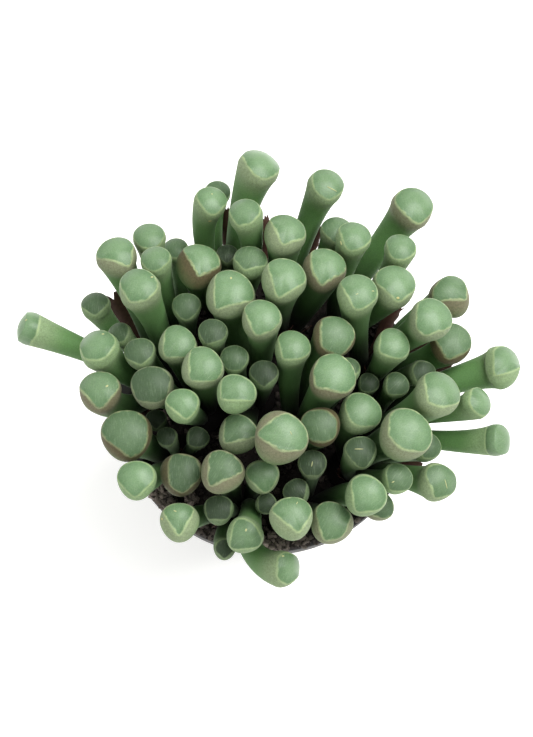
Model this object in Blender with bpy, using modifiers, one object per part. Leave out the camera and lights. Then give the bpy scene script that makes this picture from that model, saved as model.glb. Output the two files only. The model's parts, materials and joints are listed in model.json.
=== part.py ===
"""Potted baby toes: a clump of club-shaped window leaves in a small nursery pot.

Fourteen heads stand in a gritty mix. Each head is a buried crown with four to seven fleshy
leaves, slim at the foot and thick at the tip, where a shallow dome forms the clear window.
The origin is on the pot's axis at its underside, +Z is up and -Y is the front.
"""

import math
from typing import NamedTuple

import bpy
import bmesh
import numpy as np
from mathutils import Matrix, Vector

MM = 0.001
GAP = 0.3 * MM

# The pot: a plain moulded nursery pot with a lip round its mouth and drain holes in its base.
POT_HEIGHT = 62 * MM
LIP_RADIUS = 37.5 * MM
LIP_DEPTH = 8 * MM
LIP_DRAFT = 0.4 * MM
MOUTH_RADIUS = 35.6 * MM
BASE_RADIUS = 27 * MM
WALL = 1.8 * MM
FLOOR = 2.4 * MM
EDGE_ROUND = 0.6 * MM
POT_STEPS = 40
DRAIN_HOLES = 6
DRAIN_RADIUS = 3.6 * MM
DRAIN_CIRCLE = 18 * MM
DRAIN_SIDES = 14

# The potting mix.
SOIL_LEVEL = 57 * MM
SOIL_RELIEF = 0.5 * MM
SOIL_WAVES = (5.1 * MM, 4.3 * MM, 3.7 * MM)
SOIL_RINGS = 6
SOIL_STEPS = 32

# The crowns, which stand in plain holes in the mix.
CROWN_RADIUS = 5.6 * MM
CROWN_TIP_RADIUS = 2.8 * MM
CROWN_DEPTH = 15 * MM
CROWN_RISE = 0.9 * MM
CROWN_SIDES = 10

# The leaves. Their thickness is given as a share of the half width of the head.
LEAF_SIDES = 9
FOOT_SHARE = 0.4
NECK_SHARE = 0.72
BULB_POWER = 5.0
FOOT_DEPTH = 2.5 * MM
FOOT_OFFSET = 1.7 * MM
CORNER_SHARE = 0.08
STEM_STATIONS = (0.0, 0.25, 0.56, 0.8, 0.91, 1.0)
SHOULDER = ((0.40, 0.94), (0.64, 0.77))
WINDOW_TOP = 0.79
LOWER_BEND = (0.33, 0.39)
UPPER_BEND = 0.66

# The leaves' places are given as seen from the eye, which looks down at the middle of the clump.
EYE_DISTANCE = 400 * MM
EYE_ELEVATION = math.radians(76)
SIGHT = Vector((-0.4, 1.1, 91.0)) * MM
CLUMP_SHIFT = Vector((-0.4, -1.9)) * MM

# The leaves press on each other until they lie clear.
SETTLE_STEPS = 900
SETTLE_FREE_STEPS = 200
SETTLE_SAMPLES = 18
SETTLE_RATE = 0.15
PAIR_STEPS = 10
NEAR_MARGIN = 2.0 * MM
LEAF_CLEARANCE = 0.5 * MM
SOIL_CLEARANCE = 1.1 * MM
FUSED_SHARE = 0.3
DEPTH_EASE = 6.0
HOLD_MARK = 0.15
HOLD_HEIGHT = 0.003
HOLD_SHAPE = 0.02
STIFFNESS = 0.15
MOST_RISE = 6 * MM
MOST_LEAN = math.radians(20)
ARM_RANGE = (0.8, 1.25)
FOLLOW = np.array([0.3, 1.0])
TINY = 0.001 * MM


class Leaf(NamedTuple):
    """A leaf: its head's place in the view (mm right, mm up), height over the mix (mm),
    width (mm) and the bearing of its keel (degrees, 0 right, 90 back). Its upper bend lies
    this share of the way out, and its stem swings this far to the right (mm)."""

    right: float
    up: float
    height: float
    width: float
    keel: float
    upright: float = 0.88
    swing: float = 0.0


class Head(NamedTuple):
    """A crown's place on the mix (mm right, mm back) and the leaves that grow from it."""

    x: float
    y: float
    leaves: tuple


HEADS = (
    Head(-26.3, 6.5, (
        Leaf(-54.2, 9.0, 22, 8.1, -20, 0.5),
        Leaf(-39.0, 14.0, 22, 7.2, -90),
        Leaf(-38.0, -5.5, 30, 9.7, -90),
        Leaf(-38.0, 4.0, 31, 9.5, -95),
        Leaf(-34.0, 7.5, 25, 5.8, -80),
        Leaf(-34.4, 25.3, 30, 9.7, -60, 0.88, -2.5),
        Leaf(-29.5, 18.0, 36, 9.7, -112),
    )),
    Head(-21.5, 17.0, (
        Leaf(-27.0, 29.5, 27, 7.9, -90),
        Leaf(-25.5, 24.5, 30, 7.4, -90),
        Leaf(-21.0, 27.0, 22, 6.2, -90),
        Leaf(-18.5, 14.0, 32, 6.9, -92),
    )),
    Head(-9.0, 25.0, (
        Leaf(-2.1, 45.5, 32, 10.2, -100, 0.78, -4.0),
        Leaf(-11.0, 40.0, 26, 6.5, -90),
        Leaf(-13.0, 38.0, 33, 7.9, -90, 0.88, -4.0),
        Leaf(-5.0, 35.0, 34, 8.1, -100),
        Leaf(-15.6, 23.3, 35, 10.6, -106),
        Leaf(-9.0, 26.0, 24, 5.3, -90),
        Leaf(-4.0, 24.0, 32, 8.3, -108),
    )),
    Head(3.5, 20.0, (
        Leaf(4.0, 30.5, 34, 9.9, -113),
        Leaf(13.5, 41.5, 34, 8.8, -90, 0.88, -2.0),
        Leaf(4.0, 20.0, 37, 10.4, -112),
        Leaf(13.2, 22.6, 36, 10.2, -104),
        Leaf(16.0, 31.0, 28, 7.9, -90),
    )),
    Head(16.5, 20.5, (
        Leaf(20.0, 29.5, 33, 8.3, -105),
        Leaf(33.5, 36.5, 34, 10.2, -85),
        Leaf(30.5, 27.0, 31, 7.6, -110),
        Leaf(29.0, 18.5, 35, 10.2, -93, 0.8),
    )),
    Head(24.5, 9.5, (
        Leaf(20.8, 16.5, 38, 9.5, -106),
        Leaf(42.0, 16.0, 28, 10.2, -48),
        Leaf(37.5, 10.7, 36, 9.9, -125),
        Leaf(42.5, 4.5, 27, 9.9, -107),
        Leaf(29.0, 4.5, 33, 8.3, -150),
    )),
    Head(26.0, -3.0, (
        Leaf(53.5, 0.0, 24, 10.4, -125),
        Leaf(48.0, -8.0, 24, 7.4, -180),
        Leaf(52.5, -16.5, 24, 7.6, -140, 0.75),
        Leaf(39.0, -6.5, 34, 10.6, -130),
        Leaf(23.5, -3.0, 26, 5.1, -130),
        Leaf(30.0, -4.0, 27, 6.2, -130),
        Leaf(36.5, -1.5, 26, 6.5, -110),
    )),
    Head(20.5, -14.5, (
        Leaf(21.8, -11.1, 36, 9.7, -125),
        Leaf(31.2, -15.2, 37, 12.0, -130),
        Leaf(22.0, -19.5, 33, 7.6, -88),
        Leaf(37.5, -18.0, 27, 7.2, -125),
        Leaf(30.0, -25.5, 30, 7.2, -130),
        Leaf(38.7, -25.3, 27, 9.0, -120, 0.75),
        Leaf(26.0, -31.5, 25, 6.9, -150),
    )),
    Head(9.5, -23.0, (
        Leaf(23.0, -29.5, 34, 9.5, -130),
        Leaf(15.0, -35.5, 31, 9.7, -120, 0.95),
        Leaf(6.0, -34.5, 35, 9.7, -82, 0.8),
        Leaf(7.0, -28.5, 28, 6.2, -60),
        Leaf(-1.0, -31.5, 25, 5.1, -150),
        Leaf(10.5, -22.0, 31, 6.7, -90),
    )),
    Head(-6.5, -24.0, (
        Leaf(-1.0, -25.5, 34, 7.9, -85),
        Leaf(-20.0, -35.5, 31, 9.0, -90, 0.95),
        Leaf(-11.0, -32.5, 27, 6.9, -90),
        Leaf(-4.5, -38.0, 31, 8.5, -130),
        Leaf(-9.5, -41.5, 20, 5.3, -90),
        Leaf(3.5, -45.5, 25, 8.5, -115, 0.8, -9.5),
        Leaf(-10.0, -24.3, 35, 9.9, -122),
    )),
    Head(-22.5, -11.0, (
        Leaf(-29.4, -25.3, 31, 9.0, -92),
        Leaf(-19.5, -24.5, 34, 9.9, -95),
        Leaf(-32.2, -15.3, 33, 11.8, -85),
        Leaf(-23.0, -16.0, 25, 4.9, -90),
        Leaf(-16.0, -16.0, 26, 5.5, -120),
        Leaf(-25.5, -12.0, 24, 5.1, -90),
    )),
    Head(-15.5, 0.5, (
        Leaf(-29.5, 3.0, 31, 7.4, -80),
        Leaf(-19.5, -8.5, 36, 7.9, -87),
        Leaf(-26.5, -4.5, 35, 9.9, -90),
        Leaf(-21.0, 5.0, 36, 9.0, -135),
        Leaf(-15.0, 0.0, 40, 9.7, -135),
        Leaf(-12.5, 8.0, 33, 6.9, -100),
    )),
    Head(-3.5, 3.5, (
        Leaf(-8.4, 16.5, 39, 11.5, -128),
        Leaf(-7.5, 2.0, 35, 6.7, -95),
        Leaf(-7.0, -6.5, 39, 9.0, -115),
        Leaf(-0.5, -1.5, 35, 6.9, -90),
        Leaf(-1.0, 11.0, 40, 9.2, -115),
        Leaf(-6.5, -15.0, 37, 9.2, -130),
    )),
    Head(7.0, -6.0, (
        Leaf(16.4, 6.1, 37, 9.9, -115),
        Leaf(5.5, 4.5, 38, 8.3, -120),
        Leaf(15.7, -3.1, 39, 10.6, -140),
        Leaf(18.5, -0.5, 30, 6.2, -90),
        Leaf(3.5, -17.3, 40, 12.0, -125),
        Leaf(12.0, -13.5, 36, 9.2, -80),
    )),
)


def clear_scene():
    """Remove every object that the file opened with."""
    for obj in list(bpy.data.objects):
        bpy.data.objects.remove(obj, do_unlink=True)


def new_collection(name, parent=None):
    """A new collection under the parent, or under the scene."""
    collection = bpy.data.collections.new(name)
    (parent or bpy.context.scene.collection).children.link(collection)
    return collection


def new_material(name, colour, roughness):
    """A Principled BSDF material with one linear colour."""
    material = bpy.data.materials.new(name)
    material.use_nodes = True
    shader = material.node_tree.nodes["Principled BSDF"]
    shader.inputs["Base Color"].default_value = (*colour, 1.0)
    shader.inputs["Roughness"].default_value = roughness
    return material


def add_object(name, mesh, collection, material=None):
    """An object for the mesh, in the collection, with the material."""
    if material:
        mesh.materials.clear()
        mesh.materials.append(material)
    obj = bpy.data.objects.new(name, mesh)
    collection.objects.link(obj)
    return obj


def baked(obj):
    """The object's mesh with its modifiers applied."""
    graph = bpy.context.evaluated_depsgraph_get()
    mesh = bpy.data.meshes.new_from_object(obj.evaluated_get(graph))
    obj.modifiers.clear()
    old = obj.data
    obj.data = mesh
    bpy.data.meshes.remove(old)
    return obj


def turned(name, profile, collection, material, steps):
    """A shape turned from (radius, height) points that start and end on the axis."""
    mesh = bpy.data.meshes.new(name)
    edges = [(i, i + 1) for i in range(len(profile) - 1)]
    mesh.from_pydata([(radius, 0.0, height) for radius, height in profile], edges, [])
    obj = add_object(name, mesh, collection, material)
    screw = obj.modifiers.new("turn", "SCREW")
    screw.steps = steps
    screw.render_steps = steps
    screw.use_merge_vertices = True
    screw.merge_threshold = 0.01 * MM
    return baked(obj)


def smooth(obj, angle):
    """Shade the object smooth, apart from edges sharper than the angle."""
    obj.data.shade_smooth()
    obj.data.set_sharp_from_angle(angle=math.radians(angle))


def rounded(points, radius):
    """The profile with each corner between its ends cut back by the radius."""
    result = [points[0]]
    for before, point, after in zip(points, points[1:], points[2:]):
        here = Vector(point)
        for other in (before, after):
            way = Vector(other) - here
            result.append(tuple(here + way.normalized() * min(radius, way.length / 3)))
    return result + [points[-1]]


def pot_inner_radius(height):
    """The radius of the pot's inner wall at a height."""
    share = (height - FLOOR) / (POT_HEIGHT - FLOOR)
    return BASE_RADIUS - WALL + share * (MOUTH_RADIUS - BASE_RADIUS)


def make_pot(collection, material):
    """The pot: floor, wall and lip turned from one profile, with drain holes in the floor."""
    lip_foot = POT_HEIGHT - LIP_DEPTH
    under_lip = pot_inner_radius(lip_foot) + WALL
    profile = rounded([
        (0.0, FLOOR),
        (pot_inner_radius(FLOOR), FLOOR),
        (pot_inner_radius(POT_HEIGHT), POT_HEIGHT),
        (LIP_RADIUS, POT_HEIGHT),
        (LIP_RADIUS - LIP_DRAFT, lip_foot),
        (under_lip, lip_foot + LIP_DRAFT),
        (BASE_RADIUS, 0.0),
        (0.0, 0.0),
    ], EDGE_ROUND)
    pot = turned("pot", profile, collection, material, POT_STEPS)
    cut_away(pot, [drain_hole(index) for index in range(DRAIN_HOLES)], collection)
    smooth(pot, 35)
    return pot


def drain_hole(index):
    """The mesh that cuts one drain hole through the pot's floor."""
    angle = math.tau * index / DRAIN_HOLES
    place = Vector((math.cos(angle), math.sin(angle), 0.0)) * DRAIN_CIRCLE
    shape = bmesh.new()
    bmesh.ops.create_cone(
        shape,
        cap_ends=True,
        segments=DRAIN_SIDES,
        radius1=DRAIN_RADIUS,
        radius2=DRAIN_RADIUS,
        depth=FLOOR * 3,
        matrix=Matrix.Translation(place),
    )
    mesh = bpy.data.meshes.new(f"drain_hole_{index + 1}")
    shape.to_mesh(mesh)
    shape.free()
    return mesh


def cut_away(obj, meshes, collection):
    """Cut the meshes out of the object."""
    cutters = new_collection(f"{obj.name}_cutters", collection)
    for mesh in meshes:
        cutter = add_object(mesh.name, mesh, cutters)
        cutter.hide_render = True
        cutter.display_type = "WIRE"
    cut = obj.modifiers.new("cut", "BOOLEAN")
    cut.operation = "DIFFERENCE"
    cut.operand_type = "COLLECTION"
    cut.collection = cutters
    cut.solver = "EXACT"
    baked(obj)
    remove_collection(cutters)


def relief(x, y):
    """The unevenness of the mix's surface at a place."""
    wide, deep, short = SOIL_WAVES
    wave = math.sin(x / wide) * math.cos(y / deep)
    ripple = math.sin((x + 2 * y) / short) / 2
    return SOIL_RELIEF * (wave + ripple)


def make_soil(collection, material, crowns):
    """The mix: it fills the pot to a low uneven surface, with a plain hole for each crown."""
    radius = pot_inner_radius(SOIL_LEVEL) - GAP
    foot = FLOOR + GAP
    profile = [(radius * (1 - i / SOIL_RINGS), SOIL_LEVEL) for i in range(SOIL_RINGS, -1, -1)]
    corner = foot + EDGE_ROUND
    profile += [(pot_inner_radius(corner) - GAP, corner)]
    profile += [(pot_inner_radius(foot) - GAP - EDGE_ROUND, foot), (0.0, foot)]
    soil = turned("soil", profile, collection, material, SOIL_STEPS)
    shape = bmesh.new()
    shape.from_mesh(soil.data)
    for vertex in shape.verts:
        place = vertex.co
        if place.z > SOIL_LEVEL - GAP and place.xy.length < radius - GAP:
            place.z += relief(place.x, place.y)
    shape.to_mesh(soil.data)
    shape.free()
    holes = []
    for index, crown in enumerate(crowns):
        hole = crown_mesh(f"hole_{index + 1:02d}", GAP, CROWN_DEPTH + GAP, SOIL_RELIEF * 4)
        hole.transform(Matrix.Translation(crown))
        holes.append(hole)
    cut_away(soil, holes, collection)
    smooth(soil, 50)
    return soil


def crown_mesh(name, margin, depth, rise):
    """A crown's buried part, a tapered plug on the origin, made wider all round by the margin."""
    taper = (CROWN_RADIUS - CROWN_TIP_RADIUS) / CROWN_DEPTH
    shape = bmesh.new()
    bmesh.ops.create_cone(
        shape,
        cap_ends=True,
        segments=CROWN_SIDES,
        radius1=CROWN_RADIUS + margin - taper * depth,
        radius2=CROWN_RADIUS + margin + taper * rise,
        depth=depth + rise,
        matrix=Matrix.Translation((0.0, 0.0, (rise - depth) / 2)),
    )
    mesh = bpy.data.meshes.new(name)
    shape.to_mesh(mesh)
    shape.free()
    return mesh


def remove_collection(collection):
    """Remove a collection of helpers with its objects."""
    for obj in list(collection.objects):
        bpy.data.objects.remove(obj, do_unlink=True)
    bpy.data.collections.remove(collection)


def sight_point(right, up, height):
    """The point at a height over the mix that the eye sees at a place in its view."""
    toward_eye = Vector((0.0, -math.cos(EYE_ELEVATION), math.sin(EYE_ELEVATION)))
    view_up = Vector((0.0, math.sin(EYE_ELEVATION), math.cos(EYE_ELEVATION)))
    eye = SIGHT + toward_eye * EYE_DISTANCE
    mark = SIGHT + Vector((right, 0.0, 0.0)) + view_up * up
    share = (SOIL_LEVEL + height - eye.z) / (mark.z - eye.z)
    return eye + (mark - eye) * share, (eye - mark).normalized()


def crown_place(head):
    """Where a head's crown stands on the mix."""
    return Vector((head.x * MM + CLUMP_SHIFT.x, head.y * MM + CLUMP_SHIFT.y, SOIL_LEVEL))


def bezier_weights(shares):
    """The cubic Bezier weights of four control points at each share of the length."""
    t = np.asarray(shares, float)[:, None]
    return np.hstack([(1 - t) ** 3, 3 * t * (1 - t) ** 2, 3 * t**2 * (1 - t), t**3])


def leaf_half_width(width):
    """The radius of the circle round a leaf's head, whose mean width is given in mm."""
    return 0.5 * width * MM * (1 + CORNER_SHARE / 2)


def thickness(share):
    """A leaf's half width at a share of its length, as a share of the head's."""
    share = np.asarray(share, float)
    bulb = (1 - NECK_SHARE) * share**BULB_POWER
    return FOOT_SHARE + (NECK_SHARE - FOOT_SHARE) * share + bulb


def first_curves():
    """Each leaf's starting control points, head number, sight line and half width."""
    controls, owners, sights, radii = [], [], [], []
    for number, head in enumerate(HEADS):
        crown = crown_place(head)
        for leaf in head.leaves:
            tip, sight = sight_point(leaf.right * MM, leaf.up * MM, leaf.height * MM)
            spread = Vector((tip.x - crown.x, tip.y - crown.y, 0.0))
            offset = spread * min(1.0, FOOT_OFFSET / max(spread.length, TINY))
            foot = crown + offset - Vector((0.0, 0.0, FOOT_DEPTH))
            rise = Vector((0.0, 0.0, tip.z - foot.z))
            run = spread - offset
            swing = Vector((leaf.swing * MM, 0.0, 0.0))
            lower = foot + run * LOWER_BEND[0] + rise * LOWER_BEND[1] + swing
            upper = foot + run * leaf.upright + rise * UPPER_BEND + swing
            controls.append([foot, lower, upper, tip])
            owners.append(number)
            sights.append(sight)
            radii.append(leaf_half_width(leaf.width))
    return np.array(controls), np.array(owners), np.array(sights), np.array(radii)


def close_pairs(points, radii, may_touch):
    """The pairs of samples that are near enough to press on each other soon."""
    distance = np.linalg.norm(points[:, None, :] - points[None, :, :], axis=2)
    near = distance < radii[:, None] + radii[None, :] + LEAF_CLEARANCE + NEAR_MARGIN
    return np.nonzero(np.triu(near & ~may_touch, 1))


def push_apart(points, radii, pairs):
    """How far each sample is pushed by the samples of other leaves that it presses on."""
    first, second = pairs
    between = points[first] - points[second]
    distance = np.maximum(np.linalg.norm(between, axis=1), TINY)
    press = np.maximum(radii[first] + radii[second] + LEAF_CLEARANCE - distance, 0.0)
    shove = between * (0.5 * press / distance)[:, None]
    push = np.zeros_like(points)
    np.add.at(push, first, shove)
    np.add.at(push, second, -shove)
    count = np.bincount(np.concatenate([first[press > 0], second[press > 0]]),
                        minlength=len(points))
    return push / np.sqrt(np.maximum(count, 1))[:, None]


def keep_off_pot(points, radii, crowns):
    """How far each sample is moved to stay off the mix and the pot's lip."""
    move = np.zeros_like(points)
    beyond = np.linalg.norm(points[:, :2] - crowns[:, :2], axis=1) + radii > CROWN_RADIUS
    sunk = SOIL_LEVEL + SOIL_CLEARANCE + radii - points[:, 2]
    move[:, 2] = np.where(beyond, np.maximum(sunk, 0.0), 0.0)
    reach = np.linalg.norm(points[:, :2], axis=1)
    inward = reach + radii + LEAF_CLEARANCE - pot_inner_radius(SOIL_LEVEL)
    upward = POT_HEIGHT + LEAF_CLEARANCE + radii - points[:, 2]
    at_lip = (inward > 0) & (upward > 0)
    rise = at_lip & (upward <= inward)
    draw_in = at_lip & (upward > inward)
    move[rise, 2] = upward[rise]
    share = inward / np.maximum(reach, TINY)
    move[draw_in, :2] -= points[draw_in, :2] * share[draw_in, None]
    return move


def keep_lean(controls, rest):
    """Turn each head back where it has leaned too far from its first lean."""
    arm = controls[:, 3] - controls[:, 2]
    length = np.linalg.norm(arm, axis=1, keepdims=True)
    first = rest[:, 3] - rest[:, 2]
    first_length = np.linalg.norm(first, axis=1, keepdims=True)
    first = first / first_length
    along = (arm * first).sum(axis=1, keepdims=True)
    across = arm - along * first
    width = np.linalg.norm(across, axis=1, keepdims=True)
    along = np.maximum(along, TINY)
    across *= np.minimum(1.0, along * math.tan(MOST_LEAN) / np.maximum(width, TINY))
    arm = along * first + across
    shortest, longest = ARM_RANGE
    wanted = np.clip(length, shortest * first_length, longest * first_length)
    arm *= wanted / np.linalg.norm(arm, axis=1, keepdims=True)
    controls[:, 2] = controls[:, 3] - arm


def sample_weights(shares):
    """The weights of a leaf's control points at shares of its length, on its lofted line."""
    stations = bezier_weights(STEM_STATIONS)
    return np.stack([np.interp(shares, STEM_STATIONS, column) for column in stations.T], axis=1)


def settle():
    """The control points of every leaf, once the leaves have pressed each other clear."""
    rest, owners, sights, half_widths = first_curves()
    controls = rest.copy()
    shares = np.linspace(0, 1, SETTLE_SAMPLES)
    weights = sample_weights(shares)
    free = weights[:, 1:]
    power = (free**2).sum(axis=1) + STIFFNESS
    station_radii = thickness(STEM_STATIONS)
    radii = (half_widths[:, None] * np.interp(shares, STEM_STATIONS, station_radii)).reshape(-1)
    leaf = np.repeat(np.arange(len(rest)), SETTLE_SAMPLES)
    low = np.tile(shares < FUSED_SHARE, len(rest))
    crowns = np.array([crown_place(HEADS[owner]) for owner in owners])[leaf]
    same_head = owners[leaf][:, None] == owners[leaf][None, :]
    may_touch = (leaf[:, None] == leaf[None, :]) | (same_head & low[:, None] & low[None, :])
    sight = sights[:, None, :]
    for step in range(SETTLE_STEPS + SETTLE_FREE_STEPS):
        points = np.einsum("sk,nkd->nsd", weights, controls).reshape(-1, 3)
        if step % PAIR_STEPS == 0:
            pairs = close_pairs(points, radii, may_touch)
        push = push_apart(points, radii, pairs)
        push += keep_off_pot(points, radii, crowns)
        push = push.reshape(len(rest), SETTLE_SAMPLES, 3)
        if step < SETTLE_STEPS:
            push += (push * sight).sum(axis=2, keepdims=True) * sight * (DEPTH_EASE - 1)
        push /= power[None, :, None]
        controls[:, 1:] += SETTLE_RATE * np.einsum("sk,nsd->nkd", free, push)
        if step < SETTLE_STEPS:
            drift = rest - controls
            depth = (drift[:, 3] * sights).sum(axis=1)[:, None]
            excess = depth - np.clip(depth, -MOST_RISE, MOST_RISE)
            along = (HOLD_HEIGHT * depth + excess) * sights
            controls[:, 3] += HOLD_MARK * (drift[:, 3] - depth * sights) + along
            moved = controls[:, 3:] - rest[:, 3:]
            controls[:, 1:3] += HOLD_SHAPE * (drift[:, 1:3] + moved * FOLLOW[None, :, None])
        keep_lean(controls, rest)
    return controls, owners


def leaf_section(angle, corner):
    """A leaf section's radius, as a share of the circle round it, at an angle from the keel."""
    return 1 - corner * (1 - math.cos(3 * angle)) / 2


def make_leaf(name, controls, leaf, collection):
    """A leaf lofted along its curve: round foot, three-cornered shoulder, domed window."""
    half_width = leaf_half_width(leaf.width)
    bearing = math.radians(leaf.keel)
    keel = Vector((math.cos(bearing), math.sin(bearing), 0.0))
    points = [Vector(p) for p in bezier_weights(STEM_STATIONS) @ controls]
    axis = (Vector(controls[3]) - Vector(controls[2])).normalized()
    tip = points[-1]
    stations = []
    for rise, share in reversed(SHOULDER):
        stations.append((tip + axis * (rise * half_width), axis, share, CORNER_SHARE))
    for index in reversed(range(len(points))):
        before = points[max(index - 1, 0)]
        after = points[min(index + 1, len(points) - 1)]
        share = STEM_STATIONS[index]
        way = axis if share == 1.0 else (after - before).normalized()
        stations.append((points[index], way, float(thickness(share)), CORNER_SHARE * share))
    shape = bmesh.new()
    rings = []
    outward = keel
    for centre, way, share, corner in stations:
        outward = (outward - way * outward.dot(way)).normalized()
        side = way.cross(outward)
        ring = []
        for step in range(LEAF_SIDES):
            angle = math.tau * step / LEAF_SIDES
            radius = half_width * share * leaf_section(angle, corner)
            place = centre + (outward * math.cos(angle) + side * math.sin(angle)) * radius
            ring.append(shape.verts.new(place))
        rings.append(ring)
    for upper, lower in zip(rings, rings[1:]):
        for step in range(LEAF_SIDES):
            after = (step + 1) % LEAF_SIDES
            shape.faces.new((lower[step], lower[after], upper[after], upper[step]))
    shape.faces.new(reversed(rings[-1]))
    top = shape.verts.new(tip + axis * (WINDOW_TOP * half_width))
    for step in range(LEAF_SIDES):
        shape.faces.new((rings[0][step], rings[0][(step + 1) % LEAF_SIDES], top))
    mesh = bpy.data.meshes.new(name)
    shape.to_mesh(mesh)
    shape.free()
    return add_object(name, mesh, collection)


def make_head(number, head, curves, collection, material):
    """A head: its crown and leaves, joined as the one piece that they grew as."""
    name = f"head_{number + 1:02d}"
    mesh = crown_mesh(name, 0.0, CROWN_DEPTH, CROWN_RISE)
    mesh.transform(Matrix.Translation(crown_place(head)))
    crown = add_object(name, mesh, collection, material)
    leaves = new_collection(f"{name}_leaves", collection)
    for index, (leaf, controls) in enumerate(zip(head.leaves, curves)):
        make_leaf(f"{name}_leaf_{index + 1}", controls, leaf, leaves)
    join = crown.modifiers.new("leaves", "BOOLEAN")
    join.operation = "UNION"
    join.operand_type = "COLLECTION"
    join.collection = leaves
    join.solver = "MANIFOLD"
    baked(crown)
    remove_collection(leaves)
    smooth(crown, 60)
    return crown


def main():
    clear_scene()
    plant = new_collection("potted_baby_toes")
    plastic = new_material("moulded_plastic", (0.018, 0.019, 0.018), 0.45)
    mix = new_material("gritty_mix", (0.035, 0.027, 0.02), 0.95)
    flesh = new_material("leaf_flesh", (0.17, 0.30, 0.12), 0.45)
    make_pot(plant, plastic)
    make_soil(plant, mix, [crown_place(head) for head in HEADS])
    curves, owners = settle()
    for number, head in enumerate(HEADS):
        make_head(number, head, curves[owners == number], plant, flesh)


main()
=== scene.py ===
"""Looks of the potted baby toes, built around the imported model.

Every head of leaves is made again as a fine skin that lies where its CAD node lies, with the
window, its pale rim and the waxy bloom under it worked into the mesh. The nursery pot gets a
smooth moulded form, the mix gets grit, and the leaf feet get their dried sheaths.
"""

import json
import logging
import math
from dataclasses import dataclass
from enum import Enum

import bmesh
import bpy
import numpy as np
from mathutils import Matrix, Vector
from mathutils.bvhtree import BVHTree

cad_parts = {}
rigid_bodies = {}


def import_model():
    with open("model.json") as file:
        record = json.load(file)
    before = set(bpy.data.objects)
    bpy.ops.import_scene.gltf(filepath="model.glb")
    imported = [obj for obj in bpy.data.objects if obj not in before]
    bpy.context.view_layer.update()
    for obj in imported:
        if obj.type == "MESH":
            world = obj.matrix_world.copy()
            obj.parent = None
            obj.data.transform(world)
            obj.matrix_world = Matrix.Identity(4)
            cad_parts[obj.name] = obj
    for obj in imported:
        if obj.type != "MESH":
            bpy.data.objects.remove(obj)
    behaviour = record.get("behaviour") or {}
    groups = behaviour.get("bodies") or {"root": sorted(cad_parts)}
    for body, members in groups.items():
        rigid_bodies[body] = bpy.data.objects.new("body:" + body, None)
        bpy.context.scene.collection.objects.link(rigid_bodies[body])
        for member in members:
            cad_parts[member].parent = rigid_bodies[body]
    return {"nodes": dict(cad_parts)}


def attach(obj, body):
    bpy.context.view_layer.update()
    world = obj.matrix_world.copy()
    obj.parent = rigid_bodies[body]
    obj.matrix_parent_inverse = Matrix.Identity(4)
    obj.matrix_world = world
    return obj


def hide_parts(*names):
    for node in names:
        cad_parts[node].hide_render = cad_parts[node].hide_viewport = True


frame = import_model()

MM = 0.001
LOG = logging.getLogger("potted_baby_toes")
Span = tuple[float, float]


def srgb(code: str) -> tuple[float, float, float, float]:
    """Turn an sRGB hex colour to linear values.

    Args:
        code: The colour, as #RRGGBB.

    Returns:
        Red, green, blue and alpha.
    """
    values = [int(code[start:start + 2], 16) / 255 for start in (1, 3, 5)]
    linear = [v / 12.92 if v <= 0.04045 else ((v + 0.055) / 1.055) ** 2.4 for v in values]
    return (linear[0], linear[1], linear[2], 1.0)


def grain(size_mm: float) -> float:
    """Give the texture scale whose features are about this many millimetres wide."""
    return 1.0 / (size_mm * MM)


def feed(tree: bpy.types.NodeTree, node: bpy.types.Node, given: dict) -> None:
    """Set a node's properties and inputs.

    Args:
        tree: The node's tree.
        node: The node.
        given: Its properties by name, and its inputs by name or number. An input gets a value,
            or the socket that feeds it, or the node whose first output does.
    """
    for key, value in given.items():
        if isinstance(value, bpy.types.Node):
            value = value.outputs[0]
        if isinstance(value, bpy.types.NodeSocket):
            tree.links.new(value, node.inputs[key])
        elif isinstance(key, int) or key in node.inputs:
            node.inputs[key].default_value = value
        else:
            setattr(node, key, value)


def add_node(tree: bpy.types.NodeTree, kind: str, given: dict, *inputs: object) -> bpy.types.Node:
    """Add a node with its settings and links.

    Args:
        tree: The tree that gets the node.
        kind: The node's type.
        given: Its properties and inputs, as feed takes them.
        inputs: What its first inputs get, in their order.

    Returns:
        The new node.
    """
    node = tree.nodes.new(kind)
    feed(tree, node, {**given, **dict(enumerate(inputs))})
    return node


def new_material(name: str) -> tuple[bpy.types.Material, bpy.types.NodeTree, bpy.types.Node]:
    """Make an empty material.

    Args:
        name: The material's name.

    Returns:
        The material, its tree and its shader.
    """
    material = bpy.data.materials.new(name)
    material.use_nodes = True
    return material, material.node_tree, material.node_tree.nodes["Principled BSDF"]


def set_stops(ramp: bpy.types.ColorRamp, stops: dict[float, str]) -> None:
    """Set a ramp's colours.

    Args:
        ramp: The ramp.
        stops: The colours' hex codes, by the values that they stand at.
    """
    while len(ramp.elements) < len(stops):
        ramp.elements.new(0.5)
    for element, (position, code) in zip(ramp.elements, stops.items()):
        element.position = position
        element.color = srgb(code)


def add_object(name: str, data: bpy.types.ID) -> bpy.types.Object:
    """Put a new object in the scene.

    Args:
        name: The object's name.
        data: Its mesh, lamp or camera.

    Returns:
        The object.
    """
    made = bpy.data.objects.new(name, data)
    bpy.context.scene.collection.objects.link(made)
    return made


def add_piece(name: str, mesh: bpy.types.Mesh, material: bpy.types.Material) -> bpy.types.Object:
    """Put a mesh in the scene as a smooth piece.

    Args:
        name: The piece's name.
        mesh: Its mesh, in place.
        material: Its finish.

    Returns:
        The piece.
    """
    mesh.materials.clear()
    mesh.materials.append(material)
    mesh.shade_smooth()
    return add_object(name, mesh)


def to_mesh(shape: bmesh.types.BMesh, name: str) -> bpy.types.Mesh:
    """Turn a shape to a mesh.

    Args:
        shape: The shape, which is freed.
        name: The mesh's name.

    Returns:
        The mesh.
    """
    mesh = bpy.data.meshes.new(name)
    shape.to_mesh(mesh)
    shape.free()
    return mesh


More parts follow.
